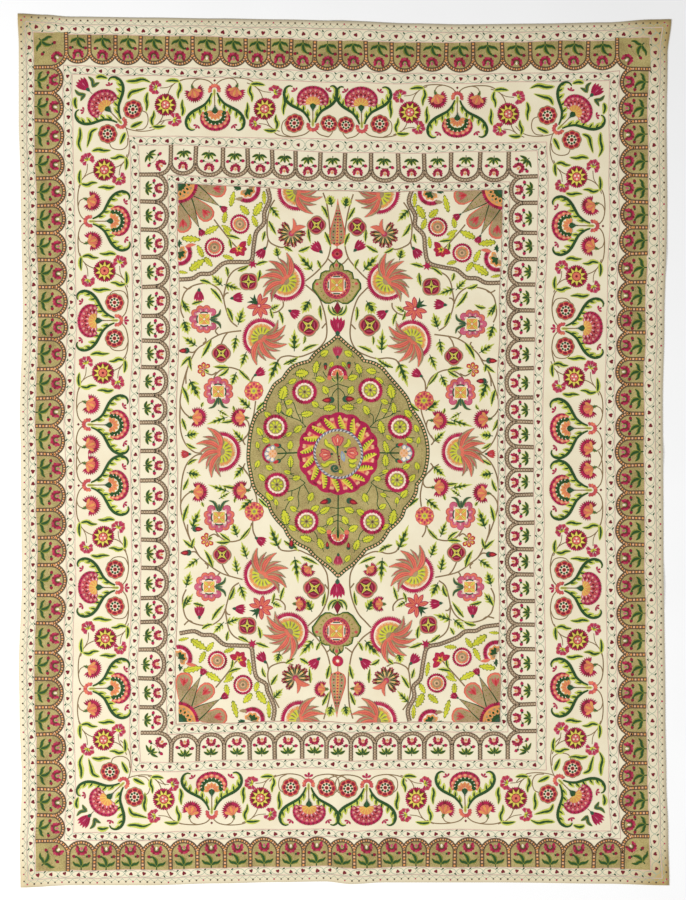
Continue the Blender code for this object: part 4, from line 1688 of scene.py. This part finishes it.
# Leaves of the medallion: middle x and y, turn, length, breadth
MEDALLION_LEAVES = (
    (325, 353, 60, 9, 6), (316, 366, 10, 12, 6), (302.6, 373, 84, 13, 7.5), (321, 379, 100, 10, 6),
    (293, 381, 60, 9, 5), (325, 389, -30, 9, 6), (284, 392, 15, 14, 8), (290, 402, 70, 8, 5),
    (314.5, 403.5, -50, 8, 5.5), (330, 407.6, 85, 12, 6), (279.4, 407, 5, 11, 5),
    (290, 411.4, 30, 8.5, 6), (308, 413.6, 80, 12, 6), (267.5, 414.5, -50, 8, 5.5),
    (298.6, 428.6, 50, 10, 6), (259, 430.6, -30, 9, 5.5), (289, 434, 60, 7, 4), (266, 440, 110, 8, 5.5),
    (257, 444, -10, 7, 4), (290, 444.6, 5, 9, 5.5), (348, 353, -60, 9, 6), (359, 368, -20, 11, 6),
    (371, 371, -80, 10, 6), (354, 377.6, 75, 10, 6), (379, 380, -50, 9, 5), (351, 390, 30, 9, 6),
    (391, 390, -12, 14, 7.5), (384, 401, -70, 8, 5), (359.6, 401, 60, 7, 5), (346.4, 407.6, -85, 12, 6),
    (365.6, 409.6, -30, 10, 6), (384, 410, -80, 7, 4), (394, 406.6, -10, 11, 5), (408, 413, -40, 10, 6),
    (381, 426, -12, 13, 6.5), (416, 428, -20, 8, 5), (388, 437, -50, 7, 4), (408, 440, -70, 8, 5),
    (418, 440, 10, 7, 4), (385.4, 446.4, -15, 13, 5), (258, 463, 20, 8, 5), (269, 467, -60, 8, 5),
    (290.6, 461, 0, 12, 5), (262, 477, -40, 9, 5), (287, 472, -70, 7, 4), (297, 478, 80, 8, 5),
    (269, 496, -40, 10, 6), (276, 502, -10, 7, 4), (291, 498, 70, 7, 4), (293, 508, -60, 8, 5),
    (311, 496, 20, 9, 6), (285, 516, -12, 15, 7.5), (316, 508, 60, 9, 6), (326, 510, 60, 11, 6),
    (292, 527, -60, 9, 5), (331, 521, 30, 9, 6), (321, 530, -60, 10, 6), (305, 538, -70, 12, 6),
    (320, 543, -20, 11, 6), (385.4, 460, -5, 12, 6), (407, 466, 60, 8, 5), (417, 465, -20, 8, 5),
    (386, 472, 70, 7, 4), (413, 477, 40, 9, 5), (377, 479, -80, 8, 5), (405, 493, 40, 10, 6),
    (397, 500, 10, 7, 4), (383, 495, -70, 7, 4), (365, 497, -20, 9, 6), (348.6, 510, -70, 10, 6),
    (360, 512, -60, 9, 6), (383, 506, 60, 8, 5), (392.6, 516, 12, 15, 7), (345, 520, -30, 9, 6),
    (354, 528, 60, 10, 6), (385, 526, 60, 9, 5), (369, 538, 70, 12, 6), (357, 544, 20, 11, 6),
    (328, 559, -40, 8, 5), (348, 558, 40, 8, 5), (332, 364, 30, 6, 4), (344, 364, -30, 6, 4),
)
MEDALLION_STEMS = (
    ((306, 427), (300, 421), (293, 418), (285, 415), (279, 411), (275, 411)),
    ((301, 421), (297, 412), (294, 403), (290, 402)),
    ((293, 418), (287, 408), (284, 399), (281, 393)),
    ((303, 424), (303, 416), (307, 413)),
    ((306, 427), (298, 428)),
    ((285, 415), (280, 409)),
    ((294, 411), (290, 412)),
    ((305, 483), (298, 488), (290, 491), (282, 492), (276, 495), (270, 497)),
    ((300, 487), (298, 496), (299, 504), (297, 509)),
    ((292, 490), (291, 498), (287, 505), (284, 512)),
    ((304, 485), (308, 492), (312, 497)),
    ((305, 483), (298, 478), (288, 473)),
    ((338, 384), (333, 386), (327, 388)),
    ((338, 388), (333, 393), (331, 399), (329, 404)),
    ((338, 515), (333, 517), (329, 520)),
    ((338, 509), (332, 508), (326, 510)),
    ((338, 521), (330, 524), (321, 528)),
    ((337, 378), (330, 378), (326, 376), (323, 371)),
    ((321, 362), (317, 372), (316, 378)),
    ((300, 376), (304, 381), (307, 380)),
    ((276, 432), (270, 437), (262, 438)),
    ((303, 533), (307, 528), (309, 531)),
    ((318, 541), (316, 534), (312, 529)),
)
MEDALLION_BUDS = (
    (328.4, 400.0, -90, 4.6), (347.4, 399.6, 90, 4.6), (326, 501.6, -105, 4.4), (351.6, 501.6, 110, 4.4),
    (325.5, 366, 180, 2.8), (349.5, 365, 180, 2.8), (327, 546, 0, 2.8), (348.4, 546.6, 0, 2.8),
)
WHEEL = (338.4, 453.7)


def rim_beads(points):
    """The medallion's outline: square pale beads on a dark line."""
    line("forest", points, 3.7, 3)
    for x, y, turn in stations(points, 3.2):
        block("bead", x, y, turn, 1.8, 1.9, 4)


def curl_leaf(colour, pen, length, width, hook, layer):
    spine = [pen.at(hook * (t / 7) ** 2, length * t / 7) for t in range(8)]
    widths = [width / 2 * math.sin(math.pi * (0.08 + 0.9 * t / 7)) for t in range(8)]
    blade(colour, spine, widths, layer)


WHEEL_LEAVES = (
    ((326, 438.4), (327.2, 444), (333, 447.4), (337, 453.6)),
    ((348.4, 438.4), (349.4, 442.6), (346.6, 445.4), (343.6, 445.6)),
    ((320.6, 463.2), (324.8, 465.6), (329.8, 462.2), (337, 461.6)),
    ((348.4, 459), (352.4, 461), (357.8, 459)),
    ((349, 463.2), (352.4, 465.8), (356.4, 464.2)),
    ((340, 473.6), (340.6, 468.6)),
)
TOOTH_BODY = ((0.4, 38.6), (3.2, 36.2), (6.4, 34.0), (8.4, 35.4), (10.4, 37.0), (12, 36.2), (13.6, 36.8),
              (15.4, 36.0), (15.8, 32.4), (17.4, 29), (19.8, 26.2), (21.2, 24.4), (14, 25), (4.4, 25.8),
              (1.8, 29.4), (0.4, 34))
TOOTH_INSIDE = ((1.6, 37.2), (6, 33), (9.6, 34.2), (14.4, 33.6), (14.6, 31), (16, 28), (18, 25.6), (5, 26.6),
                (2.4, 30))
TOOTH_TUFT = ((7.2, 33.8), (8.6, 35.2), (10.4, 36.6), (12, 35.8), (13.5, 36.4), (14.8, 35.4), (14.8, 32.0),
              (11.6, 30.6))
TOOTH_VEIN = ((1.2, 38), (5.6, 33.6), (10.5, 30), (16.4, 26))
TOOTH_LOBES = ((15.0, 27.2, 4.6), (11.8, 29.2, 5.2), (8.6, 31.4, 5.0), (5.6, 33.8, 4.2), (3, 36.2, 2.8))


def wheel_tooth(pen, start):
    """One of the wheel's curled teeth: salmon and orange, a row of lime lobes, a coral tuft at its tip."""
    def spots(places):
        return [pen.polar(radius, start + angle) for angle, radius in places]
    patch("salmon", spots(TOOTH_BODY), 5, middle=pen.polar(30.5, start + 9.5))
    patch("orange", spots(TOOTH_INSIDE), 6, middle=pen.polar(30, start + 9))
    patch("coral", spots(TOOTH_TUFT), 7, middle=pen.polar(34.2, start + 11.6))
    spray("bead", pen, (start + 9.4, start + 11.6, start + 13.6), 4.2, 1.7, 8, 0.7, 32.2)
    line("straw", spots(TOOTH_VEIN), 1.3, 7)
    for angle, radius, length in TOOTH_LOBES:
        lobe = pen.spoke(start + angle, radius, -112)
        petal("lime", lobe, length, 2.5, 8)
        petal("forest", lobe.pen(-1.2, length * 0.3), length * 0.66, 1.0, 9)


WHEEL_COIL = ((338, 471.5), (333, 472.4), (329.8, 468.6), (332, 464.6), (336.6, 464.6), (338.4, 468),
              (335, 470), (333, 467.6), (335.2, 466.4))


def wheel_middle():
    """Three cups, leaves, a stem with dark beads and a coil on the wheel's beige disc."""
    for x, y, turn in ((338.2, 440.4, 0), (325.8, 454.6, -98), (352.2, 452.4, 100)):
        cup_flower(Pen(x, y, turn), 6.6, 13)
    for leaf in WHEEL_LEAVES:
        wavy_leaf(leaf, 4.8, "lime", "moss", 13, 0.76)
    blade("slate", [(342.4, 450.5), (342.8, 454), (343.4, 458), (344.2, 461)], [0.6, 2.0, 2.2, 0.4], 14)
    line("green_line", [(342.6, 453), (343.4, 458)], 1.6, 15)
    line("forest", curve([(338, 446), (338.2, 455), (338.8, 461), (340.2, 467)]), 1.4, 13)
    for y in (456, 459, 461.6, 464):
        disc("maroon", Pen(339.2, y), 1.0, 14, count=6)
    disc("teal", Pen(334.2, 468.4), 4.8, 13, count=14)
    line("sage", curve(WHEEL_COIL), 0.7, 14)


def wheel(pen):
    """The great round flower: a crimson rim, curled teeth, a rope ring and three cups."""
    disc("crimson", pen, lobes(41.4, 16, 0.045), 2, count=96)
    fringe(pen, 36, 39.0, 0, 360, 112, 3, notch=0.0)
    disc("crimson", pen, 37.4, 4, count=60)
    for i in range(16):
        wheel_tooth(pen, 22.5 * i)
    disc("slate", pen, 24.8, 10, count=48)
    for i in range(80):
        strand = pen.spoke(4.5 * i, 22.4, 44)
        curl_leaf("cream" if i % 2 else "braid_dark", strand, 3.0, 0.7 if i % 2 else 1.1, 0, 11)
    disc("khaki", pen, 22.5, 12, count=40)
    wheel_middle()


def side_palmette(pen):
    """A half flower beside the wheel with its stem, a wreath of pale lobes and two buds."""
    fringe(pen, 8.4, 11.2, -74, 74, 20, 3, notch=0.1)
    spray("slate", pen, range(-88, 89, 44), 6.8, 5.6, 3, 0.66, 2.0)
    spray("cream", pen, range(-88, 89, 44), 5.4, 3.6, 4, 0.66, 2.6)
    disc("bead", pen, lobes(4.6, 6, 0.14), 5, count=18)
    dots("orange", pen, 4, 2.4, 1.0, 6)
    line("forest", pen.path([(0, -4), (0, -25)]), 1.5, 2)
    for side in (-1, 1):
        line("forest", curve(pen.path([(0, -14), (side * 4, -11), (side * 7, -7)])), 1.0, 2)
        bud = pen.pen(side * 7.6, -6.2, side * 20)
        disc("teal", bud, 2.4, 3, count=8)
        petal("scarlet", bud.pen(0, -0.4), 6.2, 3.4, 4, fat=0.5)


def end_palmette(pen, radius):
    """The palmette on the long axis near each point of the medallion."""
    fringe(pen, radius * 0.6, radius, -98, 98, 24, 3, notch=0.12)
    patch("cream", around(pen, radius * 0.62, 18, -96, 96), 4)
    spray("salmon", pen, range(-80, 81, 32), radius * 0.6, radius * 0.28, 5, 0.66)
    spray("coral", pen, range(-80, 81, 32), radius * 0.4, radius * 0.12, 6, 0.66)
    for side in (-1, 1):
        disc("salmon", pen.pen(side * radius * 0.78, -radius * 0.26), radius * 0.22, 4, count=10)
        leaf = pen.pen(side * radius * 0.2, -radius * 0.7, side * 40)
        slim_leaf(leaf, radius * 0.8, 2.6, 0, "teal", "leaf_light")
    petal("orange", pen.pen(0, -radius * 0.6), radius * 1.16, radius * 0.38, 7)
    petal("forest", pen.pen(0, -radius * 0.66), radius * 1.04, radius * 0.26, 8)


def medallion():
    rim = []
    for arc in MEDALLION_ARCS:
        rim += curve(arc, 4)[:-1]
    rim.append(rim[0])
    patch("olive", rim[:-1], 0, middle=WHEEL)
    rim_beads(rim)
    for x, y in RIM_ROSETTES:
        ring_rosette(Pen(x, y, math.degrees(math.atan2(x - WHEEL[0], WHEEL[1] - y))), 12.9)
    for x, y, turn, length, breadth in MEDALLION_LEAVES:
        pen = Pen(x, y, turn).pen(0, -length * 0.56)
        lime_leaf(pen, length * 0.98, breadth * 1.12, rim="forest")
        line("forest", pen.path([(0, 0), (rng.uniform(-1, 1), -3.4)]), 0.7, 1)
    for mirror in (1, -1):
        for stem in MEDALLION_STEMS:
            line("forest", curve([(338 + mirror * (x - 338), y) for x, y in stem]), 1.0, 1)
    line("forest", [(338, 413), (338, 376)], 1.4, 1)
    line("forest", [(338, 495), (338, 533)], 1.4, 1)
    wheel(Pen(WHEEL[0], WHEEL[1]))
    side_palmette(Pen(272.5, 453.2, -90))
    side_palmette(Pen(403.5, 453.2, 90))
    end_palmette(Pen(337.7, 375, 0), 10.4)
    end_palmette(Pen(338, 535.5, 180), 11.2)
    tulip(Pen(337.7, 352.5, 0, 0.98), tone="berry", dark="crimson")
    tulip(Pen(338, 559.3, 180, 0.92), tone="berry", dark="deep_crimson")
    for x, y, turn, size in MEDALLION_BUDS:
        drop_bud(Pen(x, y, turn), size, 3)


# The long axis above and below the medallion

PENDANT_SIDE = ((0, 26), (2, 22.5), (5.5, 20.5), (6.9, 18), (7.2, 14.5), (11, 14.5), (15.5, 12), (16.6, 8),
                (17, 6), (21, 5.5), (24, 1), (24.3, -4), (22.5, -6), (19, -11), (16, -15), (11, -18.5),
                (6, -18.5), (1.5, -16), (0, -16.5))


def pendant_shape(colour, pen, share, layer):
    patch(colour, pen.path(scaled(both_sides(PENDANT_SIDE), share)), layer, middle=(pen.x, pen.y))


def pendant(pen):
    """A lobed medallion in olive with a ring and an orange square."""
    pendant_shape("forest", pen, 1.0, 1)
    pendant_shape("moss", pen, 0.95, 2)
    pendant_shape("khaki", pen, 0.9, 4)
    wreath("moss", pen, 24, 14.8, 2.6, 1.2, 5, 0.5, start=7)
    disc("berry", pen, 13.8, 5, count=36)
    fringe(pen, 11.4, 13.8, 0, 360, 26, 6, ("coral", "berry"), notch=0.16)
    arc_line("maroon", pen, 11.2, 0, 360, 0.8, 7, count=30)
    wreath("salmon", pen, 20, 9.0, 2.4, 1.8, 7, 0.5)
    disc("cream", pen, 9.4, 7, count=32)
    for turn in (0, 90, 180, 270):
        line("teal", pen.spoke(turn).path([(-3.4, 8.3), (3.4, 8.3)]), 1.3, 8)
    petal("coral", pen.pen(0, 17.5), 4.0, 3.0, 5, fat=0.5)
    for side in (-1, 1):
        petal("coral", pen.pen(side * 17.5, 1, side * 90), 3.6, 2.8, 5, fat=0.5)
        petal("forest", pen.pen(side * 2.6, 16.5, side * 12), 4.4, 1.6, 5, fat=0.5)
    patch("salmon", pen.path(box(13.8, 13.8)), 8)
    square_heart(pen, 6.1, 9)


CYPRESS_LENGTH = 46.5


def cypress(pen):
    """The tear-shaped end of the axis, salmon round beige, with small dots in three rows."""
    spine = [pen.at(0, CYPRESS_LENGTH * t / 16) for t in range(17)]
    wide = [7.5 * math.sin(math.pi * (t / 16) ** 0.45) ** 1.3 + 0.15 for t in range(17)]
    blade("scarlet", spine, [w * 1.07 for w in wide], 1)
    blade("salmon", spine, wide, 2)
    blade("sage", spine[1:15], [w * 0.84 for w in wide[1:15]], 3)
    for t in range(1, 13):
        for side in (-1, 1):
            dot = pen.pen(wide[t] * 0.52 * side, CYPRESS_LENGTH * t / 16)
            disc("forest" if t % 2 else "coral", dot, 0.9, 4, count=6)
    blade("orange", spine[1:12], [w * 0.2 for w in wide[1:12]], 4)
    for t in range(1, 12):
        disc("crimson", pen.pen(0, CYPRESS_LENGTH * t / 16), 0.9, 5, count=6)


def round_flower(pen, radius, heart_tone):
    fringe(pen, radius * 0.4, radius, 0, 360, 24, 3, ("crimson", "scarlet"), notch=0.06)
    disc("coral", pen, radius * 0.5, 4, count=12)
    disc(heart_tone, pen, radius * 0.28, 5, count=8)


def long_axis():
    """The motifs down the long axis, from the medallion's points to the field's edges."""
    x = FIELD_AXIS_X - 0.8
    for ys, turn, tone in (((327, 308.5, 285, 253.5, 246), 0, "maroon"),
                           ((588, 606.5, 631, 661, 671), 180, "cream")):
        line("stem", [(x, ys[0]), (x, ys[4])], 1.0, 0)
        tulip(Pen(x, ys[0], turn, 1.42))
        bud = Pen(x, ys[1], turn)
        patch("maroon", bud.path([(0, -6), (3.6, 0), (0, 7.4), (-3.6, 0)]), 2)
        patch("deep_crimson", bud.path([(0, -3.6), (2.2, 0), (0, 4.4), (-2.2, 0)]), 3)
        for side in (-1, 1):
            outer = [(0, -7), (side * 5, -5.6), (side * 8.4, -1), (side * 8.8, 4)]
            wavy_leaf(bud.path(outer), 3.0, "teal", "leaf_light")
            wavy_leaf(bud.path([(0, -6), (side * 3.4, -3), (side * 5.6, 2)]), 2.0, "forest", "moss")
        pendant(Pen(x - 0.8, ys[2], turn, 1.04))
        round_flower(Pen(x, ys[3], turn), 5.6, tone)
        cypress(Pen(x, ys[4], turn))


def field_only(draw, *given):
    """Draws something and presses whatever passes the edge of the field onto that edge."""
    before = {colour: len(store["points"]) for colour, store in stitched.items()}
    draw(*given)
    for colour, store in stitched.items():
        for i in range(before[colour], len(store["points"])):
            x, y, rise = store["points"][i]
            x = min(max(x, band_point("left", y, FIELD_EDGE)[0]), band_point("right", y, FIELD_EDGE)[0])
            y = min(max(y, band_point("head", x, FIELD_EDGE)[1]), band_point("foot", x, FIELD_EDGE)[1])
            store["points"][i] = (x, y, rise)


def embroider():
    outer_strip()
    guard_stripes()
    scallops_and_arches()
    main_border()
    for name in QUARTERS:
        field_only(field_quarter, Quarter(name))
    end_of_field()
    medallion()
    long_axis()


# Materials

SEEN_SHARE = 0.84


def linear(channel):
    """A seen colour's channel as the share of light it sends back in this studio."""
    share = channel / 255.0
    if share <= 0.04045:
        return share / 12.92 * SEEN_SHARE
    return ((share + 0.055) / 1.055) ** 2.4 * SEEN_SHARE


def shade(rgb, strength=1.0):
    return tuple(min(1.0, linear(channel) * strength) for channel in rgb) + (1.0,)


def new_material(name):
    material = bpy.data.materials.new(name)
    material.use_nodes = True
    tree = material.node_tree
    return material, tree, tree.nodes["Principled BSDF"]


def add_node(tree, kind, **values):
    node = tree.nodes.new(kind)
    for key, value in values.items():
        if key in node.inputs:
            node.inputs[key].default_value = value
        else:
            setattr(node, key, value)
    return node


def noise(tree, place, scale, detail=2.0, roughness=0.55):
    node = add_node(tree, "ShaderNodeTexNoise", Scale=scale, Detail=detail, Roughness=roughness)
    tree.links.new(place, node.inputs["Vector"])
    return node.outputs["Fac"]


def blend_of(tree, first, second, share):
    """A value made of two others, the first taking the given share."""
    node = add_node(tree, "ShaderNodeMix", data_type="FLOAT")
    node.inputs["Factor"].default_value = 1.0 - share
    tree.links.new(first, node.inputs["A"])
    tree.links.new(second, node.inputs["B"])
    return node.outputs[0]


def ramp(tree, value, stops):
    node = tree.nodes.new("ShaderNodeValToRGB")
    marks = node.color_ramp.elements
    while len(marks) < len(stops):
        marks.new(0.5)
    for mark, (place, colour) in zip(marks, stops):
        mark.position = place
        mark.color = colour
    tree.links.new(value, node.inputs["Fac"])
    return node.outputs["Color"]


def bump(tree, heights, strength, depth):
    node = add_node(tree, "ShaderNodeBump", Strength=strength, Distance=depth)
    tree.links.new(heights, node.inputs["Height"])
    return node.outputs["Normal"]


STITCH_SCALE = 520.0
WEAR_SCALE = 16.0
# The laid grounds are flecked with browner and paler stitches
FLECKED = {
    "olive": (shade((138, 112, 70)), shade((206, 188, 126))),
    "khaki": (shade((140, 112, 70)), shade((204, 184, 122))),
    "sage": (shade((134, 108, 74)), shade((196, 170, 128))),
}


def silk(name, rgb):
    """Floss silk: fine stitches painted lighter and darker as a painted sheen and shade, and older, paler
    patches.
    """
    material, tree, shader = new_material("silk_" + name)
    place = add_node(tree, "ShaderNodeTexCoord").outputs["Object"]
    # The stitch-scale noise lightens and darkens the thread colour: a painted sheen and shade of single
    # stitches. The broad noise gives paler faded patches.
    fine = noise(tree, place, STITCH_SCALE, 2.0)
    broad = noise(tree, place, WEAR_SCALE, 3.0)
    mixed = blend_of(tree, fine, broad, 0.6)
    # In the laid grounds the darker and lighter tones are browner and paler thread flecks. For the other
    # threads they are painted shade and painted sheen.
    low, high = FLECKED.get(name, (shade(rgb, 0.74), shade(rgb, 1.22)))
    colour = ramp(tree, mixed, ((0.36, low), (0.5, shade(rgb)), (0.66, high)))
    tree.links.new(colour, shader.inputs["Base Color"])
    tree.links.new(bump(tree, fine, 0.5, 0.0004), shader.inputs["Normal"])
    shader.inputs["Roughness"].default_value = 0.6
    shader.inputs["Specular IOR Level"].default_value = 0.22
    shader.inputs["Sheen Weight"].default_value = 0.06
    return material


COTTON = (248, 238, 208)
COTTON_SHADE = (243, 230, 198)
# The yellowed edges, the corner stains and the painted shade towards the right side all mix towards this
# colour.
COTTON_YELLOWED_AND_SHADED = (190, 164, 104)


def cotton():
    """Plain ivory cotton, yellowed along its edges and most at its corners, with a painted shade that darkens
    its edges a little more towards the right side.
    """
    material, tree, shader = new_material("ivory_cotton")
    place = add_node(tree, "ShaderNodeTexCoord").outputs["Object"]
    weave = noise(tree, place, 900.0, 1.0)
    mottle = noise(tree, place, 11.0, 4.0)
    clean = ramp(tree, blend_of(tree, weave, mottle, 0.35),
                 ((0.36, shade(COTTON_SHADE)), (0.56, shade(COTTON)), (0.72, shade(COTTON, 1.05))))
    # The attribute holds the edges' yellowing, the corner stains and a painted shade towards the right side.
    yellowing_and_shade = add_node(tree, "ShaderNodeAttribute", attribute_name="yellowing_and_shade")
    mix = add_node(tree, "ShaderNodeMix", data_type="RGBA")
    tree.links.new(yellowing_and_shade.outputs["Fac"], mix.inputs[0])
    tree.links.new(clean, mix.inputs[6])
    mix.inputs[7].default_value = shade(COTTON_YELLOWED_AND_SHADED)
    tree.links.new(mix.outputs[2], shader.inputs["Base Color"])
    tree.links.new(bump(tree, weave, 0.35, 0.0003), shader.inputs["Normal"])
    shader.inputs["Roughness"].default_value = 0.85
    shader.inputs["Sheen Weight"].default_value = 0.15
    return material


# Meshes

def add_object(name, mesh, material=None):
    thing = bpy.data.objects.new(name, mesh)
    bpy.context.scene.collection.objects.link(thing)
    if material:
        mesh.materials.append(material)
    return thing


MAP_SPAN = 2.76


def lay_flat_map(mesh, places):
    """The map that the finish is painted on: the shapes as they lie, seen from above."""
    corners = np.empty(len(mesh.loops), int)
    mesh.loops.foreach_get("vertex_index", corners)
    layer = mesh.uv_layers.new(name="OFBake")
    layer.data.foreach_set("uv", (places[corners, :2] / MAP_SPAN + 0.5).ravel())


def facing_up(places, faces):
    turned = []
    for face in faces:
        a, b, c = places[face[0]], places[face[1]], places[face[2]]
        area = (b[0] - a[0]) * (c[1] - a[1]) - (c[0] - a[0]) * (b[1] - a[1])
        if len(face) > 3 and abs(area) < 1e-10:
            a, b, c = places[face[0]], places[face[2]], places[face[3]]
            area = (b[0] - a[0]) * (c[1] - a[1]) - (c[0] - a[0]) * (b[1] - a[1])
        turned.append(face if area > 0 else face[::-1])
    return turned


def embroidery_object(colour):
    store = stitched[colour]
    places = on_cloth(store["points"])
    mesh = bpy.data.meshes.new(colour)
    mesh.from_pydata(places.tolist(), [], facing_up(places.tolist(), store["faces"]))
    lay_flat_map(mesh, places)
    return add_object("silk_" + colour, mesh, silk(colour, THREADS[colour]))


def yellowing_and_painted_shade(u, v):
    """How yellowed the cloth is at a place, most at its corners and along its edges, plus a painted shade
    near the edges that grows towards the right side.
    """
    near_x = np.minimum(u, 1.0 - u) * CLOTH_WIDTH
    near_y = np.minimum(v, 1.0 - v) * CLOTH_LENGTH
    near = np.minimum(near_x, near_y)
    # The last term is painted shade: it darkens the cloth near its edges more and more towards the right
    # side.
    yellowing_and_shade = 0.2 * np.exp(-(near / 0.03) ** 2) + 0.05 * np.exp(-near / 0.4) + 0.06 * u * np.exp(-near / 0.2)
    corners = ((0, 1, 0.75, 0.10), (1, 1, 0.9, 0.13), (1, 0, 0.85, 0.11), (0, 0, 0.35, 0.08))
    for corner_u, corner_v, strength, reach in corners:
        gap = np.hypot((u - corner_u) * CLOTH_WIDTH, (v - corner_v) * CLOTH_LENGTH)
        yellowing_and_shade = yellowing_and_shade + strength * np.exp(-(gap / reach) ** 2)
    return np.clip(yellowing_and_shade, 0.0, 1.0)


def bedspread_cloth():
    """The cloth as one closed sheet, top and underside joined round the edge."""
    u, v = np.meshgrid(np.linspace(0, 1, CELLS_ACROSS + 1), np.linspace(0, 1, CELLS_ALONG + 1))
    u, v = u.ravel(), v.ravel()
    x, y = spread_points(u, v)
    under = lift(x, y)
    count = len(u)
    low = np.column_stack((x - SHIFT_X, y - SHIFT_Y, under))
    high = np.column_stack((x - SHIFT_X, y - SHIFT_Y, under + CLOTH_THICKNESS))
    row = CELLS_ACROSS + 1
    top, bottom = [], []
    for j in range(CELLS_ALONG):
        for i in range(CELLS_ACROSS):
            a = j * row + i
            top.append((count + a, count + a + 1, count + a + row + 1, count + a + row))
            bottom.append((a, a + row, a + row + 1, a + 1))
    ring = list(range(row))
    ring += [j * row + CELLS_ACROSS for j in range(1, CELLS_ALONG + 1)]
    ring += [CELLS_ALONG * row + i for i in range(CELLS_ACROSS - 1, -1, -1)]
    ring += [j * row for j in range(CELLS_ALONG - 1, 0, -1)]
    rim = [(a, b, count + b, count + a) for a, b in zip(ring, ring[1:] + ring[:1])]
    mesh = bpy.data.meshes.new("bedspread_cloth")
    mesh.from_pydata(np.vstack((low, high)).tolist(), [], top + bottom + rim)
    # Yellowing of the edges and corners, with painted shade towards the right side.
    yellowing_and_shade = mesh.attributes.new("yellowing_and_shade", "FLOAT", "POINT")
    yellowing_and_shade.data.foreach_set("value", np.tile(yellowing_and_painted_shade(u, v), 2))
    layer = mesh.uv_layers.new(name="OFBake")
    # The face takes most of the map, the underside a part of the rest and the rim a thin strip
    for polygon in mesh.polygons:
        for loop in polygon.loop_indices:
            i = mesh.loops[loop].vertex_index
            part = i % count
            if polygon.index < len(top):
                place = (0.005 + 0.74 * u[part], 0.005 + 0.99 * v[part])
            elif polygon.index < len(top) + len(bottom):
                place = (0.76 + 0.235 * u[part], 0.005 + 0.32 * v[part])
            else:
                place = (0.76 + 0.02 * (i >= count), 0.4 + 0.5 * (u[part] + v[part]) / 2)
            layer.data[loop].uv = place
    for polygon in mesh.polygons:
        polygon.use_smooth = polygon.index < len(top) + len(bottom)
    return add_object("bedspread", mesh, cotton())


# The floor, the light and the camera

CAMERA_HEIGHT = 7.75
CAMERA_LENS = 100.0
FRAME_MIDDLE = (343.0, 450.0)


def floor():
    mesh = bpy.data.meshes.new("floor")
    reach = 9.0
    mesh.from_pydata([(-reach, -reach, 0), (reach, -reach, 0), (reach, reach, 0), (-reach, reach, 0)], [],
                     [(0, 1, 2, 3)])
    material, tree, shader = new_material("pale_floor")
    place = add_node(tree, "ShaderNodeTexCoord").outputs["Object"]
    colour = ramp(tree, noise(tree, place, 3.0), ((0.3, (0.89, 0.89, 0.89, 1)), (0.7, (0.91, 0.91, 0.91, 1))))
    tree.links.new(colour, shader.inputs["Base Color"])
    shader.inputs["Roughness"].default_value = 0.9
    return add_object("floor", mesh, material)


def area_light(name, place, aim, size, power):
    lamp = bpy.data.lights.new(name, "AREA")
    lamp.shape = "DISK"
    lamp.size = size
    lamp.energy = power
    thing = add_object(name, lamp)
    thing.location = place
    away = np.array(place) - np.array(aim)
    thing.rotation_euler = (math.atan2(math.hypot(away[0], away[1]), away[2]), 0,
                            math.atan2(away[0], -away[1]) if away[0] or away[1] else 0)
    return thing


def studio():
    area_light("left_light", (-4.3, -1.4, 4.2), (-0.4, 0, 0), 2.6, 312)
    area_light("right_light", (4.6, -2.2, 4.8), (0.3, -0.2, 0), 3.2, 124)
    world = bpy.data.worlds.new("soft_room")
    world.use_nodes = True
    world.node_tree.nodes["Background"].inputs["Color"].default_value = (1, 1, 1, 1)
    world.node_tree.nodes["Background"].inputs["Strength"].default_value = 0.42
    bpy.context.scene.world = world
    bpy.context.scene.view_settings.view_transform = "Standard"


def camera():
    lens = bpy.data.cameras.new("camera")
    lens.lens = CAMERA_LENS
    lens.sensor_width = 36.0
    lens.clip_end = 60.0
    thing = bpy.data.objects.new("camera", lens)
    bpy.context.scene.collection.objects.link(thing)
    x = (FRAME_MIDDLE[0] - CHART_MIDDLE[0]) * CHART_STEP - SHIFT_X
    y = (CHART_MIDDLE[1] - FRAME_MIDDLE[1]) * CHART_STEP - SHIFT_Y
    thing.location = (x, y, CAMERA_HEIGHT)
    bpy.context.scene.camera = thing


embroider()
cloth = bedspread_cloth()
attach(cloth, "root")
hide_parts(CLOTH_NODE)
threads = [embroidery_object(colour) for colour in THREADS]
for piece in threads:
    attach(piece, "root")
floor()
studio()
camera()
